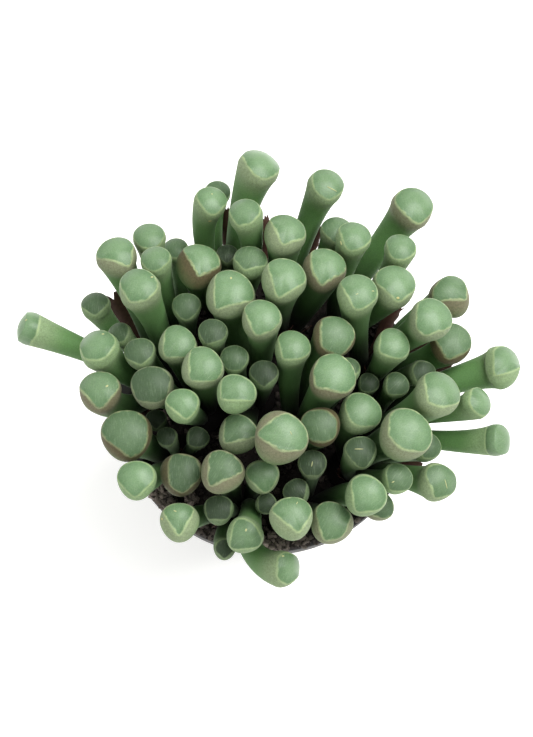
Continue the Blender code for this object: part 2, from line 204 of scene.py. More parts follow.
def apply_modifiers(piece: bpy.types.Object) -> bpy.types.Mesh:
    """Turn a piece's modifiers to a plain mesh.

    Args:
        piece: The piece, which gets the mesh and loses its modifiers.

    Returns:
        The mesh.
    """
    graph = bpy.context.evaluated_depsgraph_get()
    made = bpy.data.meshes.new_from_object(piece.evaluated_get(graph))
    piece.modifiers.clear()
    piece.data = made
    return made


def unit(ways: np.ndarray) -> np.ndarray:
    """Give ways at a length of 1."""
    return ways / np.linalg.norm(ways, axis=-1, keepdims=True)


def add_sheet(shape: bmesh.types.BMesh, points: np.ndarray) -> None:
    """Add a sheet of faces through a grid of points.

    Args:
        shape: The shape that gets the sheet.
        points: The points (line, row, xyz).
    """
    grid = [[shape.verts.new(place) for place in line] for line in points]
    for left, right in zip(grid, grid[1:]):
        for row in range(len(left) - 1):
            shape.faces.new((left[row], right[row], right[row + 1], left[row + 1]))


@dataclass(frozen=True)
class LeafPlan:
    """A leaf, as the photograph's view places it.

    The head's place is in mm right and up in the view, its height over the mix and its width
    are in mm, and the keel's bearing is in degrees, 0 right and 90 back. Tone runs from fresh
    to grey, partly the leaf's own grey and partly painted shade on low leaves under others, and
    blush from a green flank over dusty pink to brown. The window has the straight
    edges that the view shows: each one's bearing and how far it runs from the middle of the
    head, as a share of the half width. The upper bend lies at the upright share of the way out,
    and the stem swings aside by mm to the right. The window's clear flesh may run on past the
    rim, down the flank, by some mm.
    """

    right: float
    up: float
    height: float
    width: float
    keel: float
    tone: float
    blush: float
    window: tuple[Span, ...] = ()
    upright: float = 0.88
    swing: float = 0.0
    run_on: float = 0.0


@dataclass(frozen=True)
class HeadPlan:
    """A crown's place on the mix, in mm right and back, and the leaves that grow from it."""

    x: float
    y: float
    leaves: tuple[LeafPlan, ...]


# The heads: where each crown stands, and a row of LeafPlan's values for each of its leaves.
HEADS = tuple(HeadPlan(x, y, tuple(LeafPlan(*row) for row in rows)) for x, y, rows in (
    (-26.3, 6.5, (
        (-54.2, 9.0, 22, 8.1, -20, 0.1, 0.1, ((-15, 0.15), (35, 0.45)), 0.5, 0.0, 3.2),
        (-39.0, 14.0, 22, 7.2, -90, 0.6, 0.1, ((-125, 0.5), (-50, 0.5))),
        (-38.0, -5.5, 30, 9.7, -90, 0.3, 0.75, ((-134, 0.5), (-42, 0.62))),
        (-38.0, 4.0, 31, 9.5, -95, 0.1, 0.1, ((-90, 0.45), (-150, 0.75))),
        (-34.0, 7.5, 25, 5.8, -80, 0.4, 0.1, ((-90, 0.6),)),
        (-34.4, 25.3, 30, 9.7, -60, 0.05, 0.6, ((-105, 0.2), (-5, 0.75)), 0.88, -2.5),
        (-29.5, 18.0, 36, 9.7, -112, 0.05, 0.35, ((-150, 0.62), (-85, 0.6))),
    )),
    (-21.5, 17.0, (
        (-27.0, 29.5, 27, 7.9, -90, 0.2, 0.1, ((-90, 0.6),)),
        (-25.5, 24.5, 30, 7.4, -90, 0.1, 0.05, ((-120, 0.75), (-60, 0.75))),
        (-21.0, 27.0, 22, 6.2, -90, 0.3, 0.1),
        (-18.5, 14.0, 32, 6.9, -92, 0.6, 0, ((-140, 0.75), (-42, 0.78))),
    )),
    (-9.0, 25.0, (
        (-2.1, 45.5, 32, 10.2, -100, 0.05, 0.35, ((-147, 0.42), (-40, 0.85)), 0.78, -4.0),
        (-11.0, 40.0, 26, 6.5, -90, 0.45, 0, ((-100, 0.8),)),
        (-13.0, 38.0, 33, 7.9, -90, 0.05, 0.1, ((-142, 0.72), (-42, 0.74)), 0.88, -4.0),
        (-5.0, 35.0, 34, 8.1, -100, 0.15, 0.15, ((-150, 0.68), (-80, 0.6), (-35, 0.8))),
        (-15.6, 23.3, 35, 10.6, -106, 0.05, 1, ((-149, 0.14), (-63, 0.42))),
        (-9.0, 26.0, 24, 5.3, -90, 0.95, 0),
        (-4.0, 24.0, 32, 8.3, -108, 0.5, 0.1, ((-140, 0.5), (-75, 0.3))),
    )),
    (3.5, 20.0, (
        (4.0, 30.5, 34, 9.9, -113, 0.1, 0.45, ((-155, 0.26), (-72, 0.4))),
        (13.5, 41.5, 34, 8.8, -90, 0.15, 0.2, ((180, 0.72), (-125, 0.8), (-50, 0.78)), 0.88, -2.0),
        (4.0, 20.0, 37, 10.4, -112, 0.05, 0.35, ((-165, 0.44), (-60, 0.54))),
        (13.2, 22.6, 36, 10.2, -104, 0.05, 0.75, ((180, 0.56), (-146, 0.46), (-60, 0.5))),
        (16.0, 31.0, 28, 7.9, -90, 0.35, 0.3),
    )),
    (16.5, 20.5, (
        (20.0, 29.5, 33, 8.3, -105, 0.1, 0.1, ((-165, 0.6), (-75, 0.68))),
        (33.5, 36.5, 34, 10.2, -85, 0.15, 0.6, ((-130, 0.5), (-40, 0.8))),
        (30.5, 27.0, 31, 7.6, -110, 0.15, 0.05, ((-170, 0.75), (-90, 0.8))),
        (29.0, 18.5, 35, 10.2, -93, 0.1, 0.4, ((-129, 0.37), (-58, 0.66)), 0.8),
    )),
    (24.5, 9.5, (
        (20.8, 16.5, 38, 9.5, -106, 0.05, 0.15, ((-152, 0.42), (-60, 0.85))),
        (42.0, 16.0, 28, 10.2, -48, 0.35, 0.8, ((-88, 0.12), (-5, 0.7))),
        (37.5, 10.7, 36, 9.9, -125, 0.1, 0.45, ((180, 0.68), (-72, 0.56))),
        (42.5, 4.5, 27, 9.9, -107, 0.5, 1, ((-150, 0.55), (-65, 0.6))),
        (29.0, 4.5, 33, 8.3, -150, 0.1, 0.05, ((176, 0.66), (-116, 0.58))),
    )),
    (26.0, -3.0, (
        (53.5, 0.0, 24, 10.4, -125, 0.1, 0.15, ((178, 0.62), (-72, 0.24))),
        (48.0, -8.0, 24, 7.4, -180, 0.05, 0, ((-165, 0.45), (165, 0.5))),
        (52.5, -16.5, 24, 7.6, -140, 0.15, 0, ((-170, 0.7), (-110, 0.75)), 0.75, 0.0, 2.6),
        (39.0, -6.5, 34, 10.6, -130, 0.1, 0.4, ((-172, 0.44), (-115, 0.42), (-75, 0.5))),
        (23.5, -3.0, 26, 5.1, -130, 0.8, 0, ((-90, 0.8), (180, 0.8))),
        (30.0, -4.0, 27, 6.2, -130, 0.6, 0, ((-90, 0.7), (180, 0.7))),
        (36.5, -1.5, 26, 6.5, -110, 0.8, 0.1),
    )),
    (20.5, -14.5, (
        (21.8, -11.1, 36, 9.7, -125, 0.15, 0.2, ((-160, 0.56), (-125, 0.5), (-90, 0.54))),
        (31.2, -15.2, 37, 12.0, -130, 0.1, 0.5, ((178, 0.62), (-135, 0.45), (-95, 0.5))),
        (22.0, -19.5, 33, 7.6, -88, 0.8, 0.1, ((-142, 0.7), (-28, 0.72))),
        (37.5, -18.0, 27, 7.2, -125, 0.6, 0.1, ((-160, 0.4), (-90, 0.7))),
        (30.0, -25.5, 30, 7.2, -130, 0.5, 0.05, ((-165, 0.65), (-90, 0.7))),
        (38.7, -25.3, 27, 9.0, -120, 0.4, 0.3, ((-155, 0.38), (-80, 0.72)), 0.75),
        (26.0, -31.5, 25, 6.9, -150, 0.6, 0.6),
    )),
    (9.5, -23.0, (
        (23.0, -29.5, 34, 9.5, -130, 0.05, 0.1, ((-172, 0.58), (-88, 0.66))),
        (15.0, -35.5, 31, 9.7, -120, 0.3, 0.6, ((-164, 0.56), (-84, 0.76), (-22, 0.66)), 0.95),
        (6.0, -34.5, 35, 9.7, -82, 0.15, 0.3, ((-129, 0.25), (-33, 0.6)), 0.8),
        (7.0, -28.5, 28, 6.2, -60, 0.9, 0),
        (-1.0, -31.5, 25, 5.1, -150, 0.9, 0, ((180, 0.7),)),
        (10.5, -22.0, 31, 6.7, -90, 0.85, 0.1, ((-90, 0.75),)),
    )),
    (-6.5, -24.0, (
        (-1.0, -25.5, 34, 7.9, -85, 0.1, 0.3, ((-133, 0.58), (-31, 0.76))),
        (-20.0, -35.5, 31, 9.0, -90, 0.15, 0.4, ((-146, 0.35), (-30, 0.32)), 0.95),
        (-11.0, -32.5, 27, 6.9, -90, 0.95, 0, ((-90, 0.55), (-5, 0.85), (-175, 0.8))),
        (-4.5, -38.0, 31, 8.5, -130, 0.35, 0.1, ((170, 0.66), (-85, 0.62), (25, 0.8))),
        (-9.5, -41.5, 20, 5.3, -90, 1, 0),
        (3.5, -45.5, 25, 8.5, -115, 0.15, 0.3, ((172, 0.5), (-125, 0.5), (-60, 0.8)), 0.8, -9.5),
        (-10.0, -24.3, 35, 9.9, -122, 0.6, 0.75, ((180, 0.56), (-66, 0.3))),
    )),
    (-22.5, -11.0, (
        (-29.4, -25.3, 31, 9.0, -92, 0, 0, ((-135, 0.64), (-47, 0.58))),
        (-19.5, -24.5, 34, 9.9, -95, 0.8, 0.95, ((178, 0.5), (-128, 0.62), (-55, 0.72))),
        (-32.2, -15.3, 33, 11.8, -85, 0.6, 1, ((-127, 0.52), (5, 0.83))),
        (-23.0, -16.0, 25, 4.9, -90, 1, 0, ((-90, 0.7),)),
        (-16.0, -16.0, 26, 5.5, -120, 0.95, 0, ((-100, 0.72), (180, 0.72))),
        (-25.5, -12.0, 24, 5.1, -90, 1, 0),
    )),
    (-15.5, 0.5, (
        (-29.5, 3.0, 31, 7.4, -80, 0.65, 0.1, ((-110, 0.6), (-50, 0.6))),
        (-19.5, -8.5, 36, 7.9, -87, 0, 0, ((-128, 0.43), (-44, 0.8))),
        (-26.5, -4.5, 35, 9.9, -90, 0.75, 0.5, ((-90, 0.64), (-160, 0.84), (-20, 0.84))),
        (-21.0, 5.0, 36, 9.0, -135, 0.1, 0.35, ((178, 0.62), (-90, 0.6))),
        (-15.0, 0.0, 40, 9.7, -135, 0.05, 0.4, ((180, 0.54), (-90, 0.58))),
        (-12.5, 8.0, 33, 6.9, -100, 0.8, 0, ((-75, 0.55), (-150, 0.85))),
    )),
    (-3.5, 3.5, (
        (-8.4, 16.5, 39, 11.5, -128, 0.05, 0.4, ((180, 0.56), (-75, 0.38))),
        (-7.5, 2.0, 35, 6.7, -95, 0.55, 0, ((-90, 0.75),)),
        (-7.0, -6.5, 39, 9.0, -115, 0.1, 0.05, ((-92, 0.27), (180, 0.72))),
        (-0.5, -1.5, 35, 6.9, -90, 0.9, 0, ((-130, 0.6), (-50, 0.6))),
        (-1.0, 11.0, 40, 9.2, -115, 0.05, 0.45, ((-157, 0.56), (-72, 0.84))),
        (-6.5, -15.0, 37, 9.2, -130, 0.45, 0.5, ((180, 0.65), (-77, 0.24))),
    )),
    (7.0, -6.0, (
        (16.4, 6.1, 37, 9.9, -115, 0.35, 0.9, ((180, 0.57), (-115, 0.64), (-33, 0.8))),
        (5.5, 4.5, 38, 8.3, -120, 0.15, 0.1, ((-165, 0.6), (-90, 0.55))),
        (15.7, -3.1, 39, 10.6, -140, 0.05, 0.7, ((-103, 0.5), (-178, 0.8))),
        (18.5, -0.5, 30, 6.2, -90, 0.5, 0),
        (3.5, -17.3, 40, 12.0, -125, 0.1, 0.7, ((-122, 0.34), (-85, 0.45), (126, 0.68))),
        (12.0, -13.5, 36, 9.2, -80, 0.6, 1, ((90, 0.77), (0, 0.75), (-88, 0.78), (45, 0.75))),
    )),
))

@dataclass(frozen=True)
class View:
    """The photograph's view: where the eye is and what it looks at."""

    distance: float = 400 * MM
    elevation: float = math.radians(76)
    target: tuple[float, float, float] = (-0.4 * MM, 1.1 * MM, 91 * MM)
    photo_width: int = 533
    photo_height: int = 737
    pixels_per_mm: float = 4.33
    sensor_mm: float = 36.0

    def toward_eye(self) -> Vector:
        """Give the direction from the target to the eye."""
        return Vector((0.0, -math.cos(self.elevation), math.sin(self.elevation)))

    def eye(self) -> Vector:
        """Give the eye's place."""
        return Vector(self.target) + self.toward_eye() * self.distance

    def mark(self, right: float, up: float) -> Vector:
        """Find a mark on the plane through the target that faces the eye.

        Args:
            right: Metres to the right in the view.
            up: Metres up in the view.

        Returns:
            The mark's place.
        """
        view_up = Vector((0.0, math.sin(self.elevation), math.cos(self.elevation)))
        return Vector(self.target) + Vector((right, 0.0, 0.0)) + view_up * up

    def pixel_mark(self, column: float, row: float) -> Vector:
        """Find the mark that a pixel of the photograph shows.

        Args:
            column: The pixel's column.
            row: The pixel's row.

        Returns:
            The mark's place.
        """
        scale = MM / self.pixels_per_mm
        right = (column - self.photo_width / 2) * scale
        return self.mark(right, (self.photo_height / 2 - row) * scale)

    def at_level(self, mark: Vector, level: float) -> Vector:
        """Find what the eye sees at a mark, at some height over the floor."""
        eye = self.eye()
        return eye + (mark - eye) * ((level - eye.z) / (mark.z - eye.z))

    def add_camera(self) -> None:
        """Set the camera up at the eye."""
        data = bpy.data.cameras.new("photo_camera")
        data.sensor_fit = "VERTICAL"
        data.sensor_height = self.sensor_mm
        shown = self.photo_height / self.pixels_per_mm * MM
        data.lens = self.sensor_mm * self.distance / shown
        data.clip_start = 10 * MM
        camera = add_object("photo_camera", data)
        camera.location = self.eye()
        camera.rotation_euler = (math.pi / 2 - self.elevation, 0.0, 0.0)
        bpy.context.scene.camera = camera


@dataclass(frozen=True)
class Growth:
    """How the leaves grow and press on each other: the rule that the solids follow too."""

    soil_level: float = 57 * MM
    mouth_height: float = 62 * MM
    mouth_radius: float = 35.6 * MM
    floor: float = 2.4 * MM
    wall: float = 1.8 * MM
    base_radius: float = 27 * MM
    shift: tuple[float, float] = (-0.4 * MM, -1.9 * MM)
    crown_radius: float = 5.6 * MM
    foot_share: float = 0.4
    neck_share: float = 0.72
    bulb_power: float = 5.0
    foot_depth: float = 2.5 * MM
    foot_offset: float = 1.7 * MM
    corner: float = 0.08
    stations: tuple[float, ...] = (0.0, 0.25, 0.56, 0.8, 0.91, 1.0)
    lower_bend: tuple[float, float] = (0.33, 0.39)
    upper_bend: float = 0.66
    steps: int = 900
    free_steps: int = 200
    samples: int = 18
    rate: float = 0.15
    pair_steps: int = 10
    near: float = 2.0 * MM
    leaf_clearance: float = 0.5 * MM
    soil_clearance: float = 1.1 * MM
    fused: float = 0.3
    depth_ease: float = 6.0
    hold_mark: float = 0.15
    hold_height: float = 0.003
    hold_shape: float = 0.02
    stiffness: float = 0.15
    most_rise: float = 6 * MM
    most_lean: float = math.radians(20)
    arm_range: tuple[float, float] = (0.8, 1.25)
    follow: tuple[float, float] = (0.3, 1.0)
    tiny: float = 0.001 * MM

    def crown(self, head: HeadPlan) -> Vector:
        """Give a crown's place on the mix."""
        shift_x, shift_y = self.shift
        return Vector((head.x * MM + shift_x, head.y * MM + shift_y, self.soil_level))

    def half_width(self, width: float) -> float:
        """Give the radius round a leaf's head, whose mean width is in mm."""
        return 0.5 * width * MM * (1 + self.corner / 2)

    def thickness(self, share: np.ndarray) -> np.ndarray:
        """Give how thick a leaf is along its length.

        Args:
            share: Shares of the length, from the foot.

        Returns:
            The half width there, as a share of the head's.
        """
        share = np.asarray(share, float)
        bulb = (1 - self.neck_share) * share**self.bulb_power
        return self.foot_share + (self.neck_share - self.foot_share) * share + bulb

    def inner_radius(self, height: float) -> float:
        """Give the radius of the pot's inner wall at a height."""
        share = (height - self.floor) / (self.mouth_height - self.floor)
        return self.base_radius - self.wall + share * (self.mouth_radius - self.base_radius)

    @staticmethod
    def weights(shares: np.ndarray) -> np.ndarray:
        """Give the cubic Bezier weights of four control points at shares of the length."""
        t = np.asarray(shares, float)[:, None]
        return np.hstack([(1 - t) ** 3, 3 * t * (1 - t) ** 2, 3 * t**2 * (1 - t), t**3])

    def lofted_weights(self, shares: np.ndarray) -> np.ndarray:
        """Give the control points' weights on the line through a leaf's stations."""
        columns = self.weights(self.stations).T
        return np.stack([np.interp(shares, self.stations, column) for column in columns], axis=1)

    def first_curves(self, view: View) -> tuple[np.ndarray, np.ndarray, np.ndarray, np.ndarray]:
        """Lay each leaf's curve from its crown to its mark.

        Args:
            view: The view that the marks are given in.

        Returns:
            The control points, head numbers, sight lines and half widths.
        """
        controls, owners, sights, radii = [], [], [], []
        eye = view.eye()
        for number, head in enumerate(HEADS):
            crown = self.crown(head)
            for leaf in head.leaves:
                mark = view.mark(leaf.right * MM, leaf.up * MM)
                tip = view.at_level(mark, self.soil_level + leaf.height * MM)
                spread = Vector((tip.x - crown.x, tip.y - crown.y, 0.0))
                offset = spread * min(1.0, self.foot_offset / max(spread.length, self.tiny))
                foot = crown + offset - Vector((0.0, 0.0, self.foot_depth))
                rise = Vector((0.0, 0.0, tip.z - foot.z))
                run = spread - offset
                swing = Vector((leaf.swing * MM, 0.0, 0.0))
                lower = foot + run * self.lower_bend[0] + rise * self.lower_bend[1] + swing
                upper = foot + run * leaf.upright + rise * self.upper_bend + swing
                controls.append([foot, lower, upper, tip])
                owners.append(number)
                sights.append((eye - mark).normalized())
                radii.append(self.half_width(leaf.width))
        return np.array(controls), np.array(owners), np.array(sights), np.array(radii)

    def close_pairs(self, points: np.ndarray, radii: np.ndarray,
                    may_touch: np.ndarray) -> tuple[np.ndarray, ...]:
        """Find the pairs of samples that may press on each other soon.

        Args:
            points: The samples' places.
            radii: Their radii.
            may_touch: Which pairs are of one leaf or of one crown.

        Returns:
            The numbers of each pair's first and second sample.
        """
        distance = np.linalg.norm(points[:, None, :] - points[None, :, :], axis=2)
        near = distance < radii[:, None] + radii[None, :] + self.leaf_clearance + self.near
        return np.nonzero(np.triu(near & ~may_touch, 1))

    def push_apart(self, points: np.ndarray, radii: np.ndarray,
                   pairs: tuple[np.ndarray, ...]) -> np.ndarray:
        """Find how far each sample is pushed by the other leaves.

        Args:
            points: The samples' places.
            radii: Their radii.
            pairs: The pairs that may press on each other.

        Returns:
            The push on each sample.
        """
        first, second = pairs
        between = points[first] - points[second]
        distance = np.maximum(np.linalg.norm(between, axis=1), self.tiny)
        reach = radii[first] + radii[second] + self.leaf_clearance
        press = np.maximum(reach - distance, 0.0)
        shove = between * (0.5 * press / distance)[:, None]
        push = np.zeros_like(points)
        np.add.at(push, first, shove)
        np.add.at(push, second, -shove)
        pressed = np.concatenate([first[press > 0], second[press > 0]])
        count = np.bincount(pressed, minlength=len(points))
        return push / np.sqrt(np.maximum(count, 1))[:, None]

    def keep_off_pot(self, points: np.ndarray, radii: np.ndarray,
                     crowns: np.ndarray) -> np.ndarray:
        """Find how far each sample moves to stay off the mix and the pot's lip.

        Args:
            points: The samples' places.
            radii: Their radii.
            crowns: The place of each sample's crown.

        Returns:
            Each sample's move.
        """
        move = np.zeros_like(points)
        away = np.linalg.norm(points[:, :2] - crowns[:, :2], axis=1)
        beyond = away + radii > self.crown_radius
        sunk = self.soil_level + self.soil_clearance + radii - points[:, 2]
        move[:, 2] = np.where(beyond, np.maximum(sunk, 0.0), 0.0)
        reach = np.linalg.norm(points[:, :2], axis=1)
        inward = reach + radii + self.leaf_clearance - self.inner_radius(self.soil_level)
        upward = self.mouth_height + self.leaf_clearance + radii - points[:, 2]
        at_lip = (inward > 0) & (upward > 0)
        rise = at_lip & (upward <= inward)
        draw_in = at_lip & (upward > inward)
        move[rise, 2] = upward[rise]
        share = inward / np.maximum(reach, self.tiny)
        move[draw_in, :2] -= points[draw_in, :2] * share[draw_in, None]
        return move

    def keep_lean(self, controls: np.ndarray, rest: np.ndarray) -> None:
        """Turn each head back where it has leaned too far from its first lean.

        Args:
            controls: The leaves' control points, which are moved.
            rest: Their first places.
        """
        arm = controls[:, 3] - controls[:, 2]
        length = np.linalg.norm(arm, axis=1, keepdims=True)
        first = rest[:, 3] - rest[:, 2]
        first_length = np.linalg.norm(first, axis=1, keepdims=True)
        first = first / first_length
        along = (arm * first).sum(axis=1, keepdims=True)
        across = arm - along * first
        width = np.linalg.norm(across, axis=1, keepdims=True)
        along = np.maximum(along, self.tiny)
        most = along * math.tan(self.most_lean)
        across *= np.minimum(1.0, most / np.maximum(width, self.tiny))
        arm = along * first + across
        shortest, longest = self.arm_range
        wanted = np.clip(length, shortest * first_length, longest * first_length)
        arm *= wanted / np.linalg.norm(arm, axis=1, keepdims=True)
        controls[:, 2] = controls[:, 3] - arm

    def settle(self, view: View) -> np.ndarray:
        """Let the leaves press on each other until they lie clear.

        Args:
            view: The view that the marks are given in.

        Returns:
            The control points of every leaf, head by head.
        """
        rest, owners, sights, half_widths = self.first_curves(view)
        controls = rest.copy()
        shares = np.linspace(0, 1, self.samples)
        weights = self.lofted_weights(shares)
        free = weights[:, 1:]
        power = (free**2).sum(axis=1) + self.stiffness
        along_leaf = np.interp(shares, self.stations, self.thickness(self.stations))
        radii = (half_widths[:, None] * along_leaf).reshape(-1)
        leaf = np.repeat(np.arange(len(rest)), self.samples)
        low = np.tile(shares < self.fused, len(rest))
        crowns = np.array([self.crown(HEADS[owner]) for owner in owners])[leaf]
        same_head = owners[leaf][:, None] == owners[leaf][None, :]
        same_leaf = leaf[:, None] == leaf[None, :]
        may_touch = same_leaf | (same_head & low[:, None] & low[None, :])
        sight = sights[:, None, :]
        follow = np.array(self.follow)[None, :, None]
        for step in range(self.steps + self.free_steps):
            points = np.einsum("sk,nkd->nsd", weights, controls).reshape(-1, 3)
            if step % self.pair_steps == 0:
                pairs = self.close_pairs(points, radii, may_touch)
            push = self.push_apart(points, radii, pairs)
            push += self.keep_off_pot(points, radii, crowns)
            push = push.reshape(len(rest), self.samples, 3)
            if step < self.steps:
                ease = (push * sight).sum(axis=2, keepdims=True) * sight
                push += ease * (self.depth_ease - 1)
            push /= power[None, :, None]
            controls[:, 1:] += self.rate * np.einsum("sk,nsd->nkd", free, push)
            if step < self.steps:
                drift = rest - controls
                depth = (drift[:, 3] * sights).sum(axis=1)[:, None]
                excess = depth - np.clip(depth, -self.most_rise, self.most_rise)
                along = (self.hold_height * depth + excess) * sights
                controls[:, 3] += self.hold_mark * (drift[:, 3] - depth * sights) + along
                moved = controls[:, 3:] - rest[:, 3:]
                controls[:, 1:3] += self.hold_shape * (drift[:, 1:3] + moved * follow)
            self.keep_lean(controls, rest)
        return controls


@dataclass(frozen=True)
class LeafSkin:
    """Living leaf under a waxy cuticle, grown smooth.

    The flank is a satin green under a dusty bloom that scatters pink and beige. The window is
    clear flesh under a thin skin, so it looks pale, cloudy and moist, and light sinks into it.
    Its middle is paler, a painted highlight.
    Distances from the window's rim and the sizes of the patterns' features are in mm, and a
    distance is negative inside the window.
    """

    fresh: str = "#56734E"
    haze_and_highlight: str = "#6F8A66"
    # Grey windows: partly the leaf's own grey, partly painted shade on low leaves under others.
    grey: str = "#3A4D33"
    streak: str = "#7F9274"
    rim: str = "#9AAC7E"
    bloom_green: str = "#788F66"
    bloom_pale: str = "#7F8A6C"
    bloom_pink: str = "#6E6853"
    bloom_brown: str = "#52452F"
    flank: str = "#557745"
    stem: str = "#4F7340"
    low_stem: str = "#263D1B"
    foot: str = "#271812"
    dust_tint: str = "#C9D2BC"
    rim_middle: float = 0.2
    rim_reach: float = 0.58
    rim_strength: float = 0.8
    rim_wander: Span = (-0.1, 0.1)
    green_to_brown_wander: Span = (0.7, 3.6)
    grey_rim: float = 0.45
    worn_rim: float = 0.5
    window_edge: Span = (-0.2, 0.12)
    # The window's middle pales towards the haze colour, a painted highlight.
    highlight_reach: Span = (-0.1, -2.6)
    middle_highlight: float = 0.8
    cloud_haze: float = 0.75
    cloud_share: float = 0.4
    streak_shape: tuple[float, float, float] = (2.6, 0.42, 1.0)
    streak_scale: float = 1.6
    streak_strength: float = 0.45
    bloom_start: float = 1.0
    bloom_end: float = 8.5
    bloom_strength: float = 0.92
    deepest_painted_shade: float = 0.17
    wander_size: float = 1.5
    wear_size: float = 3.0
    cloud_size: float = 4.5
    cell_size: float = 0.3
    cell_height: float = 0.06 * MM
    dust_size: float = 0.5
    dust_shades: Span = (0.82, 1.22)
    fleck_shades: Span = (0.86, 1.12)
    window_roughness: float = 0.31
    dark_roughness: float = 0.55
    flank_roughness: float = 0.7
    refraction: float = 1.42
    shine: float = 0.36
    dusting: float = 0.05
    dusting_roughness: float = 0.45
    glow_share: float = 0.22
    glow_depth: float = 1.4 * MM
    glow_reach: tuple[float, float, float] = (0.9, 1.0, 0.5)

    def material(self) -> bpy.types.Material:
        """Make the leaf skin from the values that the leaves' meshes carry.

        Returns:
            The finish.
        """
        material, tree, shader = new_material("waxy_leaf_skin")
        place = add_node(tree, "ShaderNodeTexCoord", {}).outputs["Object"]
        rim_distance, share, tone, blush, light, local = (
            add_node(tree, "ShaderNodeAttribute", {"attribute_name": name}).outputs
            for name in (*Clump.traits, "leaf_place"))
        # The patterns, by the width of their features, their detail and its strength.
        wander, worn, cloud, cells, dust = (
            add_node(tree, "ShaderNodeTexNoise", {"Scale": grain(size), "Detail": detail,
                                                  "Roughness": strength, "Vector": place})
            for size, detail, strength in (
                (self.wander_size, 2.0, 0.5), (self.wear_size, 2.0, 0.5),
                (self.cloud_size, 3.0, 0.5), (self.cell_size, 2.0, 0.7),
                (self.dust_size, 3.0, 0.75)))
        smooth = {"interpolation_type": "SMOOTHSTEP"}
        times = {"operation": "MULTIPLY"}

        # The rim wanders by a fraction of a millimetre, most where the skin is brown.
        wander = add_node(tree, "ShaderNodeMapRange", {}, wander, 0.25, 0.75, *self.rim_wander)
        rough_rim = add_node(tree, "ShaderNodeMapRange", {}, blush["Fac"], 0.0, 1.0,
                             *self.green_to_brown_wander)
        distance = add_node(tree, "ShaderNodeMath", {"operation": "MULTIPLY_ADD"},
                            wander, rough_rim, rim_distance["Fac"])
        window = add_node(tree, "ShaderNodeMapRange", smooth, distance, *self.window_edge,
                          1.0, 0.0)

        # The rim's line is fainter on grey leaves, whose grey is partly painted shade, and worn in
        # places.
        line = add_node(tree, "ShaderNodeMath", {"operation": "SUBTRACT"},
                        distance, self.rim_middle)
        line = add_node(tree, "ShaderNodeMath", {"operation": "ABSOLUTE"}, line)
        line = add_node(tree, "ShaderNodeMapRange", smooth, line, 0.0, self.rim_reach,
                        self.rim_strength, 0.0)
        fainter = add_node(tree, "ShaderNodeMapRange", {}, tone["Fac"], 0.0, 1.0,
                           1.0, self.grey_rim)
        worn = add_node(tree, "ShaderNodeMapRange", {}, worn, 0.35, 0.6, self.worn_rim, 1.0)
        for part in (fainter, worn):
            line = add_node(tree, "ShaderNodeMath", times, line, part)

        # Clear flesh: cloudy patches, a painted highlight that pales the middle, fine cells and
        # streaks that run out from the middle.
        cloud = add_node(tree, "ShaderNodeMapRange", {}, cloud, 0.35, 0.7, 0.0, self.cloud_haze)
        middle = add_node(tree, "ShaderNodeMapRange", smooth, distance, *self.highlight_reach,
                          0.0, self.middle_highlight)
        cloud = add_node(tree, "ShaderNodeMath", {"operation": "MULTIPLY_ADD", "use_clamp": True},
                         cloud, self.cloud_share, middle)
        stretch = add_node(tree, "ShaderNodeMapping", {
            "vector_type": "TEXTURE", "Scale": self.streak_shape, "Vector": local["Vector"]})
        streaks = add_node(tree, "ShaderNodeTexNoise",
                           {"Scale": self.streak_scale, "Detail": 3.0, "Vector": stretch})
        streaks = add_node(tree, "ShaderNodeMapRange", {}, streaks, 0.55, 0.8,
                           0.0, self.streak_strength)
        # The windows grey with the leaf's tone: partly the leaf's own grey, partly painted shade on
        # low leaves under others.
        clear = srgb(self.fresh)
        for part, colour in ((cloud, self.haze_and_highlight), (tone["Fac"], self.grey),
                             (streaks, self.streak)):
            clear = add_node(tree, "ShaderNodeMix",
                             {"data_type": "RGBA", 0: part, 6: clear, 7: srgb(colour)}).outputs[2]

        # The flank: green that darkens down the stem to a red-brown foot, under a dusty wax
        # that is thickest just under the rim.
        skin = add_node(tree, "ShaderNodeValToRGB", {"Fac": share["Fac"]})
        set_stops(skin.color_ramp, {0.10: self.foot, 0.24: self.low_stem, 0.62: self.stem,
                                    0.98: self.flank})
        wax = add_node(tree, "ShaderNodeValToRGB", {"Fac": blush["Fac"]})
        set_stops(wax.color_ramp, {0.0: self.bloom_green, 0.45: self.bloom_pale,
                                   0.75: self.bloom_pink, 1.0: self.bloom_brown})
        dust = add_node(tree, "ShaderNodeMapRange", {}, dust, 0.35, 0.68, 0.0, 1.0)
        dust = add_node(tree, "ShaderNodeMapRange", {}, dust, 0.0, 1.0, *self.dust_shades)
        wax = add_node(tree, "ShaderNodeVectorMath", times, wax, dust)
        band = add_node(tree, "ShaderNodeMapRange", smooth, distance, self.bloom_start,
                        self.bloom_end, self.bloom_strength, 0.0)

        colour = skin
        for part, over in ((band, wax), (window, clear), (line, srgb(self.rim))):
            colour = add_node(tree, "ShaderNodeMix",
                              {"data_type": "RGBA", 0: part, 6: colour, 7: over}).outputs[2]
        flecks = add_node(tree, "ShaderNodeMapRange", {}, cells, 0.3, 0.7, *self.fleck_shades)
